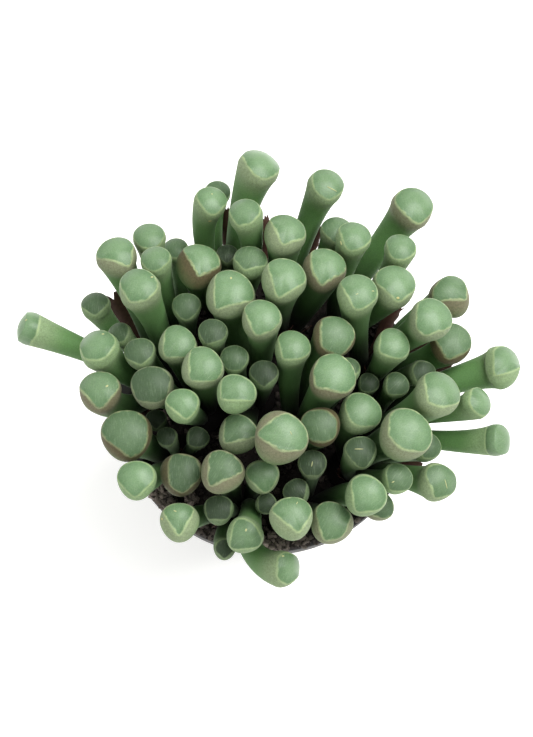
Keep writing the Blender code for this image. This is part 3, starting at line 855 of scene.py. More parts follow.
        # Painted shade: darker deep in the clump and on grey leaves low under others.
        shade = add_node(tree, "ShaderNodeMapRange", {}, light["Fac"], 0.0, 1.0,
                         self.deepest_painted_shade, 1.0)
        for part in (flecks, shade):
            colour = add_node(tree, "ShaderNodeVectorMath", times, colour, part)
        moist = add_node(tree, "ShaderNodeMapRange", {}, tone["Fac"], 0.0, 1.0,
                         self.window_roughness, self.dark_roughness)
        gloss = add_node(tree, "ShaderNodeMapRange", {}, window, 0.0, 1.0,
                         self.flank_roughness, moist)
        feed(tree, shader, {
            "Base Color": colour,
            "Roughness": gloss,
            "Normal": add_node(tree, "ShaderNodeBump",
                               {"Strength": 0.35, "Distance": self.cell_height,
                                "Height": cells}),
            "IOR": self.refraction,
            "Specular IOR Level": self.shine,
            "Sheen Weight": self.dusting,
            "Sheen Roughness": self.dusting_roughness,
            "Sheen Tint": srgb(self.dust_tint),
            "Subsurface Weight": self.glow_share,
            "Subsurface Radius": self.glow_reach,
            "Subsurface Scale": self.glow_depth})
        return material


@dataclass(frozen=True)
class MouldedPlastic:
    """Injection-moulded polypropylene: satin, near black, faintly pebbled and dusty."""

    colour: str = "#1B1B19"
    dusty: str = "#393732"
    roughness: float = 0.6
    dulling: float = 0.3
    dust_size: float = 9.0
    dust_share: float = 0.55
    pebble_size: float = 0.6
    pebble_height: float = 0.05 * MM

    def material(self) -> bpy.types.Material:
        """Make the pot's finish.

        Returns:
            The finish.
        """
        material, tree, shader = new_material("moulded_polypropylene")
        place = add_node(tree, "ShaderNodeTexCoord", {}).outputs["Object"]
        cloud = add_node(tree, "ShaderNodeTexNoise",
                         {"Scale": grain(self.dust_size), "Detail": 5.0, "Vector": place})
        dust = add_node(tree, "ShaderNodeMapRange", {}, cloud, 0.5, 0.78, 0.0, self.dust_share)
        pebble = add_node(tree, "ShaderNodeTexNoise",
                          {"Scale": grain(self.pebble_size), "Detail": 2.0, "Vector": place})
        feed(tree, shader, {
            "Base Color": add_node(tree, "ShaderNodeMix", {
                "data_type": "RGBA", 0: dust, 6: srgb(self.colour),
                7: srgb(self.dusty)}).outputs[2],
            "Roughness": add_node(tree, "ShaderNodeMapRange", {}, dust, 0.0, 1.0,
                                  self.roughness, self.roughness + self.dulling),
            "Normal": add_node(tree, "ShaderNodeBump",
                               {"Strength": 0.3, "Distance": self.pebble_height, "Height": pebble})})
        return material


@dataclass(frozen=True)
class GrittyMix:
    """Damp peat and composted bark: matt, near black brown, crumbly."""

    dark: str = "#0B0806"
    light: str = "#21170F"
    roughness: float = 0.92
    crumb_size: float = 1.3
    lump_size: float = 2.2
    crumb_height: float = 0.5 * MM

    def material(self) -> bpy.types.Material:
        """Make the finish of the mix between the grit.

        Returns:
            The finish.
        """
        material, tree, shader = new_material("damp_peat_and_bark")
        place = add_node(tree, "ShaderNodeTexCoord", {}).outputs["Object"]
        crumb = add_node(tree, "ShaderNodeTexVoronoi",
                         {"Scale": grain(self.crumb_size), "Vector": place})
        lump = add_node(tree, "ShaderNodeTexNoise",
                        {"Scale": grain(self.lump_size), "Detail": 6.0, "Vector": place})
        rough = add_node(tree, "ShaderNodeMath", {"operation": "ADD"}, crumb, lump)
        feed(tree, shader, {
            "Base Color": add_node(tree, "ShaderNodeMix", {
                "data_type": "RGBA", 0: lump, 6: srgb(self.dark), 7: srgb(self.light)}).outputs[2],
            "Roughness": self.roughness,
            "Normal": add_node(tree, "ShaderNodeBump",
                               {"Strength": 0.9, "Distance": self.crumb_height, "Height": rough})})
        return material


@dataclass(frozen=True)
class GritStone:
    """Crushed pumice, lava and bark chips: matt grains from black to grey-pink."""

    bark: str = "#100B08"
    lava: str = "#241D17"
    pumice: str = "#7A7066"
    roughness: float = 0.9
    pore_size: float = 0.5
    pore_shades: Span = (0.6, 1.25)
    pore_depth: float = 0.2 * MM

    def material(self) -> bpy.types.Material:
        """Make the grains' finish, which varies from grain to grain.

        Returns:
            The finish.
        """
        material, tree, shader = new_material("crushed_grit")
        place = add_node(tree, "ShaderNodeTexCoord", {}).outputs["Object"]
        tone = add_node(tree, "ShaderNodeAttribute", {"attribute_name": "grit_tone"})
        tint = add_node(tree, "ShaderNodeValToRGB", {"Fac": tone.outputs["Fac"]})
        set_stops(tint.color_ramp, {0.0: self.bark, 0.55: self.lava, 1.0: self.pumice})
        pore = add_node(tree, "ShaderNodeTexNoise", {
            "Scale": grain(self.pore_size), "Detail": 3.0, "Roughness": 0.7, "Vector": place})
        shade = add_node(tree, "ShaderNodeMapRange", {}, pore, 0.3, 0.7, *self.pore_shades)
        feed(tree, shader, {
            "Base Color": add_node(tree, "ShaderNodeVectorMath", {"operation": "MULTIPLY"},
                                   tint, shade),
            "Roughness": self.roughness,
            "Normal": add_node(tree, "ShaderNodeBump",
                               {"Strength": 0.8, "Distance": self.pore_depth, "Height": pore})})
        return material


@dataclass(frozen=True)
class DriedSkin:
    """Papery skin of spent leaves: thin, red-brown, finely ribbed along its length."""

    brown: str = "#2C140D"
    tan: str = "#4F3121"
    roughness: float = 0.8
    fibre_size: float = 0.7
    fibre_shape: tuple[float, float, float] = (1.0, 1.0, 0.2)
    fibre_height: float = 0.15 * MM

    def material(self) -> bpy.types.Material:
        """Make the finish of the dried sheaths.

        Returns:
            The finish.
        """
        material, tree, shader = new_material("dried_leaf_skin")
        place = add_node(tree, "ShaderNodeTexCoord", {}).outputs["Object"]
        ribs = add_node(tree, "ShaderNodeMapping", {"Scale": self.fibre_shape, "Vector": place})
        fibre = add_node(tree, "ShaderNodeTexNoise",
                         {"Scale": grain(self.fibre_size), "Detail": 4.0, "Vector": ribs})
        feed(tree, shader, {
            "Base Color": add_node(tree, "ShaderNodeMix", {
                "data_type": "RGBA", 0: fibre, 6: srgb(self.brown), 7: srgb(self.tan)}).outputs[2],
            "Roughness": self.roughness,
            "Normal": add_node(tree, "ShaderNodeBump",
                               {"Strength": 0.6, "Distance": self.fibre_height, "Height": fibre})})
        return material


class ScarKind(Enum):
    """The two looks that a healed nick may have."""

    PALE = 1
    BROWN = 2


@dataclass(frozen=True)
class CorkScar:
    """Healed nicks in the leaf skin: dry, pale cork."""

    pale: str = "#A7AA78"
    brown: str = "#9A8E4E"
    roughness: float = 0.7
    speck_size: float = 0.3

    def material(self, kind: ScarKind) -> bpy.types.Material:
        """Make the finish of one kind of scar.

        Args:
            kind: The scar's look.

        Returns:
            The finish.
        """
        material, tree, shader = new_material(f"leaf_cork_{kind.name.lower()}")
        place = add_node(tree, "ShaderNodeTexCoord", {}).outputs["Object"]
        speck = add_node(tree, "ShaderNodeTexNoise",
                         {"Scale": grain(self.speck_size), "Vector": place})
        tint = self.pale if kind is ScarKind.PALE else self.brown
        feed(tree, shader, {
            "Base Color": add_node(tree, "ShaderNodeMix", {
                "data_type": "RGBA", 0: speck, 6: srgb(tint), 7: srgb(self.pale)}).outputs[2],
            "Roughness": self.roughness})
        return material


@dataclass
class LeafForm:
    """The fine skin of one leaf, from its foot to its window.

    Heights and radii near the head are shares of the head's half width.
    """

    growth: Growth
    view: View
    sides: int = 44
    window_rings: int = 9
    flank_rings: int = 9
    stem_rings: int = 22
    edge_spread: float = 44.0
    edge_inset: float = 0.6
    head_middle: float = 0.1
    tries: int = 12
    least_inset: float = 0.08
    window_reach: float = 0.94
    window_packing: float = 1.2
    flank_packing: float = 1.1
    crispness: float = 12.0
    top: float = 0.79
    fall: float = 0.39
    fall_radius: float = 0.94
    fall_power: float = 3.2
    middle_height: float = 0.765
    flank_start: float = math.radians(50)
    ridge: float = 0.012
    ridge_reach: float = 0.06
    waver: float = 0.012
    waver_step: float = 2.4
    pattern_step: float = 17.0

    def section(self, angle: np.ndarray, corner: float) -> np.ndarray:
        """Give a section's radius at angles from the keel, as a share of the circle."""
        return 1 - corner * (1 - np.cos(3 * angle)) / 2

    def dome(self, radius: float | np.ndarray) -> float | np.ndarray:
        """Give the height of the window's rim at a radius."""
        return self.top - self.fall * (radius / self.fall_radius) ** self.fall_power

    def edges(self, plan: LeafPlan, way: np.ndarray, outward: np.ndarray) -> list[np.ndarray]:
        """Turn the edges that the view shows to edges round the leaf's own axis.

        Args:
            plan: The leaf.
            way: The way its tip points.
            outward: The way of its keel, square to that.

        Returns:
            For each edge, where it faces (outward and aside) divided by its inset.
        """
        tilt = self.view.elevation
        right, up = np.array([1.0, 0.0, 0.0]), np.array([0.0, math.sin(tilt), math.cos(tilt)])
        leans = np.array([way @ right, way @ up])
        given = plan.window or tuple(
            (plan.keel + turn, self.edge_inset) for turn in (-self.edge_spread, self.edge_spread))
        found = []
        for bearing, inset in given:
            facing = np.array([math.cos(math.radians(bearing)), math.sin(math.radians(bearing))])
            flat = facing[0] * right + facing[1] * up
            own = np.array([flat @ outward, flat @ np.cross(way, outward)])
            seen = np.linalg.norm(own)
            lean = float(facing @ leans)
            own_inset = inset
            for _ in range(self.tries):
                height = self.dome(own_inset) - self.head_middle
                better = (inset - height * lean) / seen
                better = min(max(better, self.least_inset), self.window_reach)
                own_inset = (own_inset + better) / 2
            found.append(own / seen / own_inset)
        return found

    def rim(self, around: np.ndarray, angle: np.ndarray, edges: list[np.ndarray],
            seed: int) -> np.ndarray:
        """Find how far from the leaf's axis the window's rim lies.

        Args:
            around: The ways out from the axis.
            angle: Their angles from the keel.
            edges: The window's straight edges.
            seed: A number of the leaf's own, for the rim's waver.

        Returns:
            The radius of the rim at each angle.
        """
        widest = self.window_reach * self.section(angle, self.growth.corner)
        total = widest ** -self.crispness
        for edge in edges:
            total = total + np.maximum(around @ edge, 0.0) ** self.crispness
        phase = seed * self.waver_step
        waver = np.sin(3 * angle + phase) + 0.6 * np.sin(7 * angle + 2 * phase)
        return total ** (-1 / self.crispness) * (1 + self.waver * waver)

    def build(self, controls: np.ndarray, plan: LeafPlan,
              seed: int) -> tuple[np.ndarray, dict[str, np.ndarray], np.ndarray, np.ndarray]:
        """Make a leaf's rings of points and what each point carries.

        Args:
            controls: The four control points of the leaf's curve.
            plan: The leaf.
            seed: A number of the leaf's own.

        Returns:
            The points (ring, side, xyz) from the window to the foot, the named values of each
            point, and the points at the window's middle and at the foot.
        """
        radius = self.growth.half_width(plan.width)
        angle = np.arange(self.sides) * math.tau / self.sides
        around = np.stack([np.cos(angle), np.sin(angle)], axis=1)
        tip_way = unit(controls[3] - controls[2])
        bearing = math.radians(plan.keel)
        outward = np.array([math.cos(bearing), math.sin(bearing), 0.0])
        outward = unit(outward - tip_way * outward.dot(tip_way))
        rim = self.rim(around, angle, self.edges(plan, tip_way, outward), seed)
        rim_height = self.dome(rim)
        rim_place = around * rim[:, None]
        centre = rim_place.mean(axis=0)
        spoke = rim_place - centre
        along_rim = unit(np.roll(rim_place, -1, axis=0) - np.roll(rim_place, 1, axis=0))
        across = np.abs(spoke[:, 0] * along_rim[:, 1] - spoke[:, 1] * along_rim[:, 0])
        square_on = across / np.linalg.norm(spoke, axis=1)

        plane, height, distance = [], [], []
        for ring in range(1, self.window_rings + 1):
            t = 1 - (1 - ring / self.window_rings) ** self.window_packing
            crest = self.ridge * np.exp(-(((1 - t) * across) / self.ridge_reach) ** 2)
            plane.append(centre + spoke * t)
            height.append(self.middle_height + (rim_height - self.middle_height) * t**2 + crest)
            distance.append(-(1 - t) * across)
        widest = self.section(angle, self.growth.corner)
        start = math.sin(self.flank_start)
        for ring in range(1, self.flank_rings + 1):
            done = (ring / self.flank_rings) ** self.flank_packing
            turn = self.flank_start + (math.pi / 2 - self.flank_start) * done
            out = rim + (widest - rim) * (math.sin(turn) - start) / (1 - start)
            up = rim_height * math.cos(turn) / math.cos(self.flank_start)
            step = np.hypot(out - np.linalg.norm(plane[-1], axis=1), up - height[-1])
            plane.append(around * out[:, None])
            height.append(up)
            distance.append(distance[-1] + step * square_on)

        shares = 1 - np.arange(1, self.stem_rings + 1) / self.stem_rings
        weights = self.growth.weights(np.concatenate([[1.0], shares]))
        spine = weights @ controls
        ways = np.gradient(spine, axis=0)
        ways[0] = controls[2] - controls[3]
        ways = unit(-ways)
        points, named = [], {"rim_distance": [], "leaf_share": [], "leaf_place": []}
        for ring in range(self.window_rings + self.flank_rings + self.stem_rings):
            below = max(0, ring - self.window_rings - self.flank_rings + 1)
            way = ways[below]
            outward = unit(outward - way * outward.dot(way))
            side = np.cross(way, outward)
            if below:
                share = shares[below - 1]
                thick = float(self.growth.thickness(share))
                flat = around * (thick * self.section(angle, self.growth.corner * share))[:, None]
                rise = np.zeros(self.sides)
                step = np.linalg.norm(spine[below] - spine[below - 1]) / radius
                distance.append(distance[-1] + step)
            else:
                share = 1.0
                flat, rise = plane[ring], height[ring]
            place = spine[below] + radius * (
                flat[:, :1] * outward + flat[:, 1:] * side + rise[:, None] * way)
            points.append(place)
            named["rim_distance"].append(distance[ring] * radius / MM - plan.run_on)
            named["leaf_share"].append(np.full(self.sides, share))
            flat_mm = flat * radius / MM
            own = np.full((self.sides, 1), seed * self.pattern_step)
            named["leaf_place"].append(np.hstack([flat_mm, own]))
            if ring == 0:
                middle = spine[0] + radius * (
                    centre[0] * outward + centre[1] * side + self.middle_height * way)
        values = {name: np.array(rows) for name, rows in named.items()}
        return np.array(points), values, middle, spine[-1]


@dataclass
class Clump:
    """The plant: fourteen heads of leaves, grown from crowns in the mix."""

    growth: Growth
    form: LeafForm
    curves: np.ndarray
    traits: tuple[str, ...] = ("rim_distance", "leaf_share", "leaf_grey_and_shade", "leaf_blush",
                               "leaf_painted_light")
    crown_tip: float = 2.8 * MM
    crown_depth: float = 15 * MM
    crown_rise: float = 0.9 * MM
    crown_sides: int = 24
    # The painted shade: darker low and near the axis deep in the clump, and on grey leaves low under
    # others.
    open_height: float = 27 * MM
    open_radius: float = 40 * MM
    closeness: float = 1.8
    overgrown_painted_shade: float = 1.2
    painted_shade_from_tone: float = 0.6
    grown_width: float = 8.0
    small_grey_and_shade: float = 0.08
    variety: float = 0.05
    middle_depth: float = 1.1
    far_from_rim: float = 30.0
    seed: int = 11

    def build(self, material: bpy.types.Material) -> list[bpy.types.Object]:
        """Make every head and set it in place of its node.

        Args:
            material: The leaf skin.

        Returns:
            The heads' pieces.
        """
        rng = np.random.default_rng(self.seed)
        leaves = enumerate(self.curves, 1)
        pieces = []
        for number, head in enumerate(HEADS, 1):
            node = f"head_{number:02d}"
            shape = bmesh.new()
            layers = {name: shape.verts.layers.float.new(name) for name in self.traits}
            layers["leaf_place"] = shape.verts.layers.float_vector.new("leaf_place")
            for plan in head.leaves:
                leaf_number, controls = next(leaves)
                shift = rng.uniform(-self.variety, self.variety, 2)
                # Small leaves sit low under others and get greyer, partly as their own grey, partly
                # as painted shade.
                small = max(0.0, self.grown_width - plan.width) * self.small_grey_and_shade
                tone = float(np.clip(plan.tone + small + shift[0], 0.0, 1.0))
                blush = float(np.clip(plan.blush + shift[1], 0.0, 1.0))
                leaf = self.form.build(controls, plan, leaf_number)
                for vert in self.add_leaf(shape, layers, *leaf):
                    vert[layers["leaf_grey_and_shade"]] = tone
                    vert[layers["leaf_blush"]] = blush
                    vert[layers["leaf_painted_light"]] = self.light(vert.co, tone)
            self.add_crown(shape, layers["rim_distance"], self.growth.crown(head))
            mesh = to_mesh(shape, f"{node}_leaves")
            piece = add_piece(f"{node}_leaves", mesh, material)
            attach(piece, "root")
            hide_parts(node)
            pieces.append(piece)
            LOG.info("%s: %d leaves, %d faces", node, len(head.leaves), len(mesh.polygons))
        return pieces

    def add_leaf(self, shape: bmesh.types.BMesh, layers: dict, points: np.ndarray,
                 values: dict[str, np.ndarray], middle: np.ndarray,
                 foot: np.ndarray) -> list[bmesh.types.BMVert]:
        """Add one leaf to a head's mesh.

        Args:
            shape: The head's mesh.
            layers: The mesh's named values.
            points: The leaf's points (ring, side, xyz).
            values: What each point carries.
            middle: The point at the window's middle.
            foot: The point at the foot.

        Returns:
            The leaf's vertices.
        """
        rings = [[shape.verts.new(place) for place in ring] for ring in points]
        for name, rows in values.items():
            for verts, row in zip(rings, rows):
                for vert, value in zip(verts, row):
                    vert[layers[name]] = value
        top, bottom = shape.verts.new(middle), shape.verts.new(foot)
        deepest = float(values["rim_distance"][0].mean()) * self.middle_depth
        top[layers["rim_distance"]] = deepest
        top[layers["leaf_share"]] = 1.0
        top[layers["leaf_place"]] = values["leaf_place"][0].mean(axis=0)
        bottom[layers["rim_distance"]] = values["rim_distance"][-1, 0]
        count = len(rings[0])
        for side in range(count):
            after = (side + 1) % count
            shape.faces.new((rings[0][side], rings[0][after], top))
            shape.faces.new((rings[-1][after], rings[-1][side], bottom))
            for upper, lower in zip(rings, rings[1:]):
                shape.faces.new((lower[side], lower[after], upper[after], upper[side]))
        return [vert for ring in (*rings, [top, bottom]) for vert in ring]

    def light(self, place: Vector, tone: float) -> float:
        """Give how much painted light a place among the leaves gets, with painted shade deep in the
        clump.

        Args:
            place: The place on a leaf.
            tone: How grey the leaf is; the greyest, low under other leaves, get more painted shade.

        Returns:
            A share from 0, deep in the clump, to 1, at its outside.
        """
        height = (place.z - self.growth.soil_level) / self.open_height
        out = place.xy.length / self.open_radius
        shut = max(0.0, 1 - height) * max(0.0, 1 - out**3)
        open_share = 1 - self.overgrown_painted_shade * max(0.0, tone - self.painted_shade_from_tone)
        return (1 - min(1.0, shut * self.closeness)) * open_share

    def add_crown(self, shape: bmesh.types.BMesh, rim_distance: bmesh.types.BMLayerItem,
                  place: Vector) -> None:
        """Add a head's crown: a tapered root under a low fleshy mound.

        Args:
            shape: The head's mesh.
            rim_distance: The mesh's layer for how far a point is from a window's rim.
            place: Where the crown stands on the mix.
        """
        middle = place + Vector((0.0, 0.0, (self.crown_rise - self.crown_depth) / 2))
        made = bmesh.ops.create_cone(
            shape, cap_ends=True, segments=self.crown_sides, radius1=self.crown_tip,
            radius2=self.growth.crown_radius, depth=self.crown_depth + self.crown_rise,
            matrix=Matrix.Translation(middle))
        for vert in made["verts"]:
            vert[rim_distance] = self.far_from_rim


@dataclass
class NurseryPot:
    """The plain moulded pot: tapered wall, drip lip and drain holes."""

    growth: Growth
    lip_radius: float = 37.5 * MM
    lip_depth: float = 8 * MM
    lip_draft: float = 0.4 * MM
    edge: float = 0.6 * MM
    steps: int = 120
    drain_holes: int = 6
    drain_radius: float = 3.6 * MM
    drain_circle: float = 18 * MM
    drain_sides: int = 32
    arc_points: int = 4
    weld: float = 0.01 * MM
    sharp: float = math.radians(50)

    def profile(self) -> list[Vector]:
        """Give the profile from the axis over the wall and back, with its corners rounded.

        Returns:
            The points, as radius and height.
        """
        g = self.growth
        foot = g.mouth_height - self.lip_depth
        corners = [Vector(point) for point in (
            (0.0, g.floor), (g.inner_radius(g.floor), g.floor),
            (g.inner_radius(g.mouth_height), g.mouth_height),
            (self.lip_radius, g.mouth_height), (self.lip_radius - self.lip_draft, foot),
            (g.inner_radius(foot) + g.wall, foot + self.lip_draft), (g.base_radius, 0.0),
            (0.0, 0.0))]
        points = [corners[0]]
        for before, here, after in zip(corners, corners[1:], corners[2:]):
            arms = [(other - here).normalized() * min(self.edge, (other - here).length / 3)
                    for other in (before, after)]
            for step in range(self.arc_points + 1):
                t = step / self.arc_points
                points.append(here + arms[0] * (1 - t) ** 2 + arms[1] * t**2)
        return points + [corners[-1]]

    def build(self, material: bpy.types.Material) -> bpy.types.Object:
        """Turn the pot and cut its drain holes.

        Args:
            material: The pot's finish.

        Returns:
            The pot's piece.
        """
        mesh = bpy.data.meshes.new("nursery_pot")
        points = self.profile()
        mesh.from_pydata([(p.x, 0.0, p.y) for p in points],
                         [(i, i + 1) for i in range(len(points) - 1)], [])
        pot = add_piece("nursery_pot", mesh, material)
        screw = pot.modifiers.new("turn", "SCREW")
        screw.steps = screw.render_steps = self.steps
        screw.use_merge_vertices = True
        screw.merge_threshold = self.weld
        cutters = bpy.data.collections.new("drain_cutters")
        bpy.context.scene.collection.children.link(cutters)
        for index in range(self.drain_holes):
            turn = math.tau * index / self.drain_holes
            shape = bmesh.new()
            place = Vector((math.cos(turn), math.sin(turn), 0.0)) * self.drain_circle
            bmesh.ops.create_cone(
                shape, cap_ends=True, segments=self.drain_sides, radius1=self.drain_radius,
                radius2=self.drain_radius, depth=3 * self.growth.floor,
                matrix=Matrix.Translation(place))
            cutters.objects.link(bpy.data.objects.new("drain", to_mesh(shape, "drain")))
        cut = pot.modifiers.new("drain", "BOOLEAN")
        cut.operand_type = "COLLECTION"
        cut.collection = cutters
        made = apply_modifiers(pot)
        made.set_sharp_from_angle(angle=self.sharp)
        for cutter in list(cutters.objects):
            bpy.data.objects.remove(cutter, do_unlink=True)
        bpy.data.collections.remove(cutters)
        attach(pot, "root")
        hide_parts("pot")
        LOG.info("nursery pot: %d faces", len(made.polygons))
        return pot


@dataclass(frozen=True)
class Heap:
    """Mix banked up where the photograph shows it, around a pixel.

    The spread is in mm, and paleness runs from 0, like the mix, to 1, like pumice.
    """

    column: float
    row: float
    spread: float
    count: int
    paleness: float


@dataclass
class Grit:
    """Grains of bark, lava and pumice that lie on the mix between the crowns."""

    growth: Growth
    view: View
    count: int = 1500
    size: float = 1.5 * MM
    least_share: float = 0.35
    most_share: float = 1.5
    least_sides: tuple[float, float, float] = (0.55, 0.5, 0.4)
    most_sides: tuple[float, float, float] = (1.2, 1.1, 0.8)
    unevenness: float = 0.4
    dent_size: float = 1.1
    most_tone: float = 0.75
    grain_sides: int = 7
    grain_rings: int = 5
    lift: float = 0.3
    margin: float = 0.6 * MM
    bank_start: float = 28 * MM
    bank_width: float = 6 * MM
    bank_edge: float = 37 * MM
    bank_rise: float = 0.4
    bank_depth: Span = (-1.2, 0.4)
    sharp: float = math.radians(45)
    seed: int = 5
    heaps: tuple[Heap, ...] = (
        Heap(152, 492, 3.2, 260, 0.25), Heap(165, 503, 2.6, 160, 0.1),
        Heap(192, 497, 1.6, 50, 0.55), Heap(162, 409, 1.2, 30, 0.6),
        Heap(205, 533, 3.0, 220, 0.0), Heap(276, 545, 3.0, 200, 0.3),
        Heap(300, 545, 3.5, 220, 0.05), Heap(325, 541, 2.5, 120, 0.0),
        Heap(385, 321, 3.2, 220, 0.0), Heap(396, 470, 3.0, 160, 0.0),
        Heap(362, 514, 3.0, 160, 0.0),
    )

    def places(self, leaves: BVHTree) -> tuple[list[Vector], list[float]]:
        """Find places for the grains that lie clear of the leaves.

        Args:
            leaves: The leaves' surfaces.

        Returns:
            The grains' places, and how pale each is.
        """
        rng = np.random.default_rng(self.seed)
        level = self.growth.soil_level + self.lift * self.size
        reach = self.growth.inner_radius(self.growth.soil_level) - self.size
        tried = []
        for _ in range(self.count):
            turn, share = rng.uniform(0, math.tau), math.sqrt(rng.uniform(0, 1))
            place = Vector((math.cos(turn) * share * reach, math.sin(turn) * share * reach, level))
            tried.append((place, 0.0))
        for heap in self.heaps:
            mark = self.view.pixel_mark(heap.column, heap.row)
            middle = self.view.at_level(mark, self.growth.mouth_height)
            for _ in range(heap.count):
                aside = rng.normal(0.0, heap.spread / 2 * MM, 2)
                place = Vector((middle.x + aside[0], middle.y + aside[1], 0.0))
                place.z = self.bank_height(place.xy.length) + rng.uniform(*self.bank_depth) * MM
                if place.xy.length < self.bank_edge:
                    tried.append((place, heap.paleness))
        found = [(place, pale) for place, pale in tried
                 if leaves.find_nearest(place)[3] > self.margin]
        return [place for place, _ in found], [pale for _, pale in found]

    def bank_height(self, out: float) -> float:
        """Give the height of a heap's top, which rises to the pot's lip.

        Args:
            out: How far from the pot's axis it is.

        Returns:
            The height.
        """
        g = self.growth
        share = min(max((out - self.bank_start) / self.bank_width, 0.0), 1.0)
        rise = g.mouth_height + self.bank_rise * self.size - g.soil_level
        return g.soil_level + rise * share**2 * (3 - 2 * share) + self.lift * self.size

    def tree(self, material: bpy.types.Material) -> bpy.types.NodeTree:
        """Make the tree that sets a crushed grain on each point.

        Args:
            material: The grains' finish.

        Returns:
            The tree.
        """
        tree = bpy.data.node_groups.new("scatter_grit", "GeometryNodeTree")
        face = tree.interface
        face.new_socket("Geometry", in_out="INPUT", socket_type="NodeSocketGeometry")
        for name, kind, value in (("Grain size", "Float", self.size),
                                  ("Least share", "Float", self.least_share),
                                  ("Unevenness", "Float", self.unevenness),
                                  ("Seed", "Int", self.seed)):
            socket = face.new_socket(name, in_out="INPUT", socket_type=f"NodeSocket{kind}")
            socket.default_value = value
        face.new_socket("Geometry", in_out="OUTPUT", socket_type="NodeSocketGeometry")
        given = add_node(tree, "NodeGroupInput", {}).outputs
        points = add_node(tree, "GeometryNodeMeshToPoints", {"Mesh": given["Geometry"]})
        grain_mesh = add_node(tree, "GeometryNodeMeshUVSphere",
                              {"Radius": 0.5, "Segments": self.grain_sides,
                               "Rings": self.grain_rings})
        turn, sides = (
            add_node(tree, "FunctionNodeRandomValue", {
                "data_type": "FLOAT_VECTOR", 0: least, 1: most, "Seed": given["Seed"]})
            for least, most in (((0.0,) * 3, (math.tau,) * 3),
                                (self.least_sides, self.most_sides)))
        share, tone = (
            add_node(tree, "FunctionNodeRandomValue", {
                "data_type": "FLOAT", 2: least, 3: most, "Seed": given["Seed"]}).outputs[1]
            for least, most in ((given["Least share"], self.most_share),
                                (0.0, self.most_tone)))
        size = add_node(tree, "ShaderNodeMath", {"operation": "MULTIPLY"},
                        share, given["Grain size"])
        scale = add_node(tree, "ShaderNodeVectorMath",
                         {"operation": "SCALE", 0: sides, "Scale": size})
        grains = add_node(tree, "GeometryNodeInstanceOnPoints", {
            "Points": points, "Instance": grain_mesh, "Rotation": turn, "Scale": scale})
        pale = add_node(tree, "GeometryNodeInputNamedAttribute", {"Name": "grit_paleness"})
        tone = add_node(tree, "ShaderNodeMath", {"operation": "ADD"}, tone, pale)
        grains = add_node(tree, "GeometryNodeStoreNamedAttribute", {
            "domain": "INSTANCE", "Name": "grit_tone", "Geometry": grains, "Value": tone})
        grains = add_node(tree, "GeometryNodeRealizeInstances", {"Geometry": grains})
        noise = add_node(tree, "ShaderNodeTexNoise", {"Scale": grain(self.dent_size), "Detail": 1.0})
        offset = add_node(tree, "ShaderNodeVectorMath", {"operation": "SUBTRACT"},
                          noise.outputs["Color"], (0.5, 0.5, 0.5))
        amount = add_node(tree, "ShaderNodeMath", {"operation": "MULTIPLY"},
                          given["Unevenness"], given["Grain size"])
        offset = add_node(tree, "ShaderNodeVectorMath",
                          {"operation": "SCALE", 0: offset, "Scale": amount})
        grains = add_node(tree, "GeometryNodeSetPosition", {"Geometry": grains, "Offset": offset})
        grains = add_node(tree, "GeometryNodeSetMaterial",
                          {"Geometry": grains, "Material": material})
        add_node(tree, "NodeGroupOutput", {"Geometry": grains})
        return tree

    def build(self, leaves: BVHTree, material: bpy.types.Material) -> bpy.types.Object:
        """Scatter the grains and turn them to a plain mesh.

        Args:
            leaves: The leaves' surfaces, which the grains keep clear of.
            material: The grains' finish.

        Returns:
            The grit's piece.
        """
        mesh = bpy.data.meshes.new("grit")
        places, paleness = self.places(leaves)
        mesh.from_pydata(places, [], [])
        mesh.attributes.new("grit_paleness", "FLOAT", "POINT").data.foreach_set("value", paleness)
        piece = add_object("grit", mesh)
        scatter = piece.modifiers.new("scatter", "NODES")
        scatter.node_group = self.tree(material)
        for item in scatter.node_group.interface.items_tree:
            if item.name == "Seed":
                scatter[item.identifier] = self.seed
        made = apply_modifiers(piece)
        made.shade_smooth()
        made.set_sharp_from_angle(angle=self.sharp)
        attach(piece, "root")
        LOG.info("grit: %d grains", len(places))
        return piece


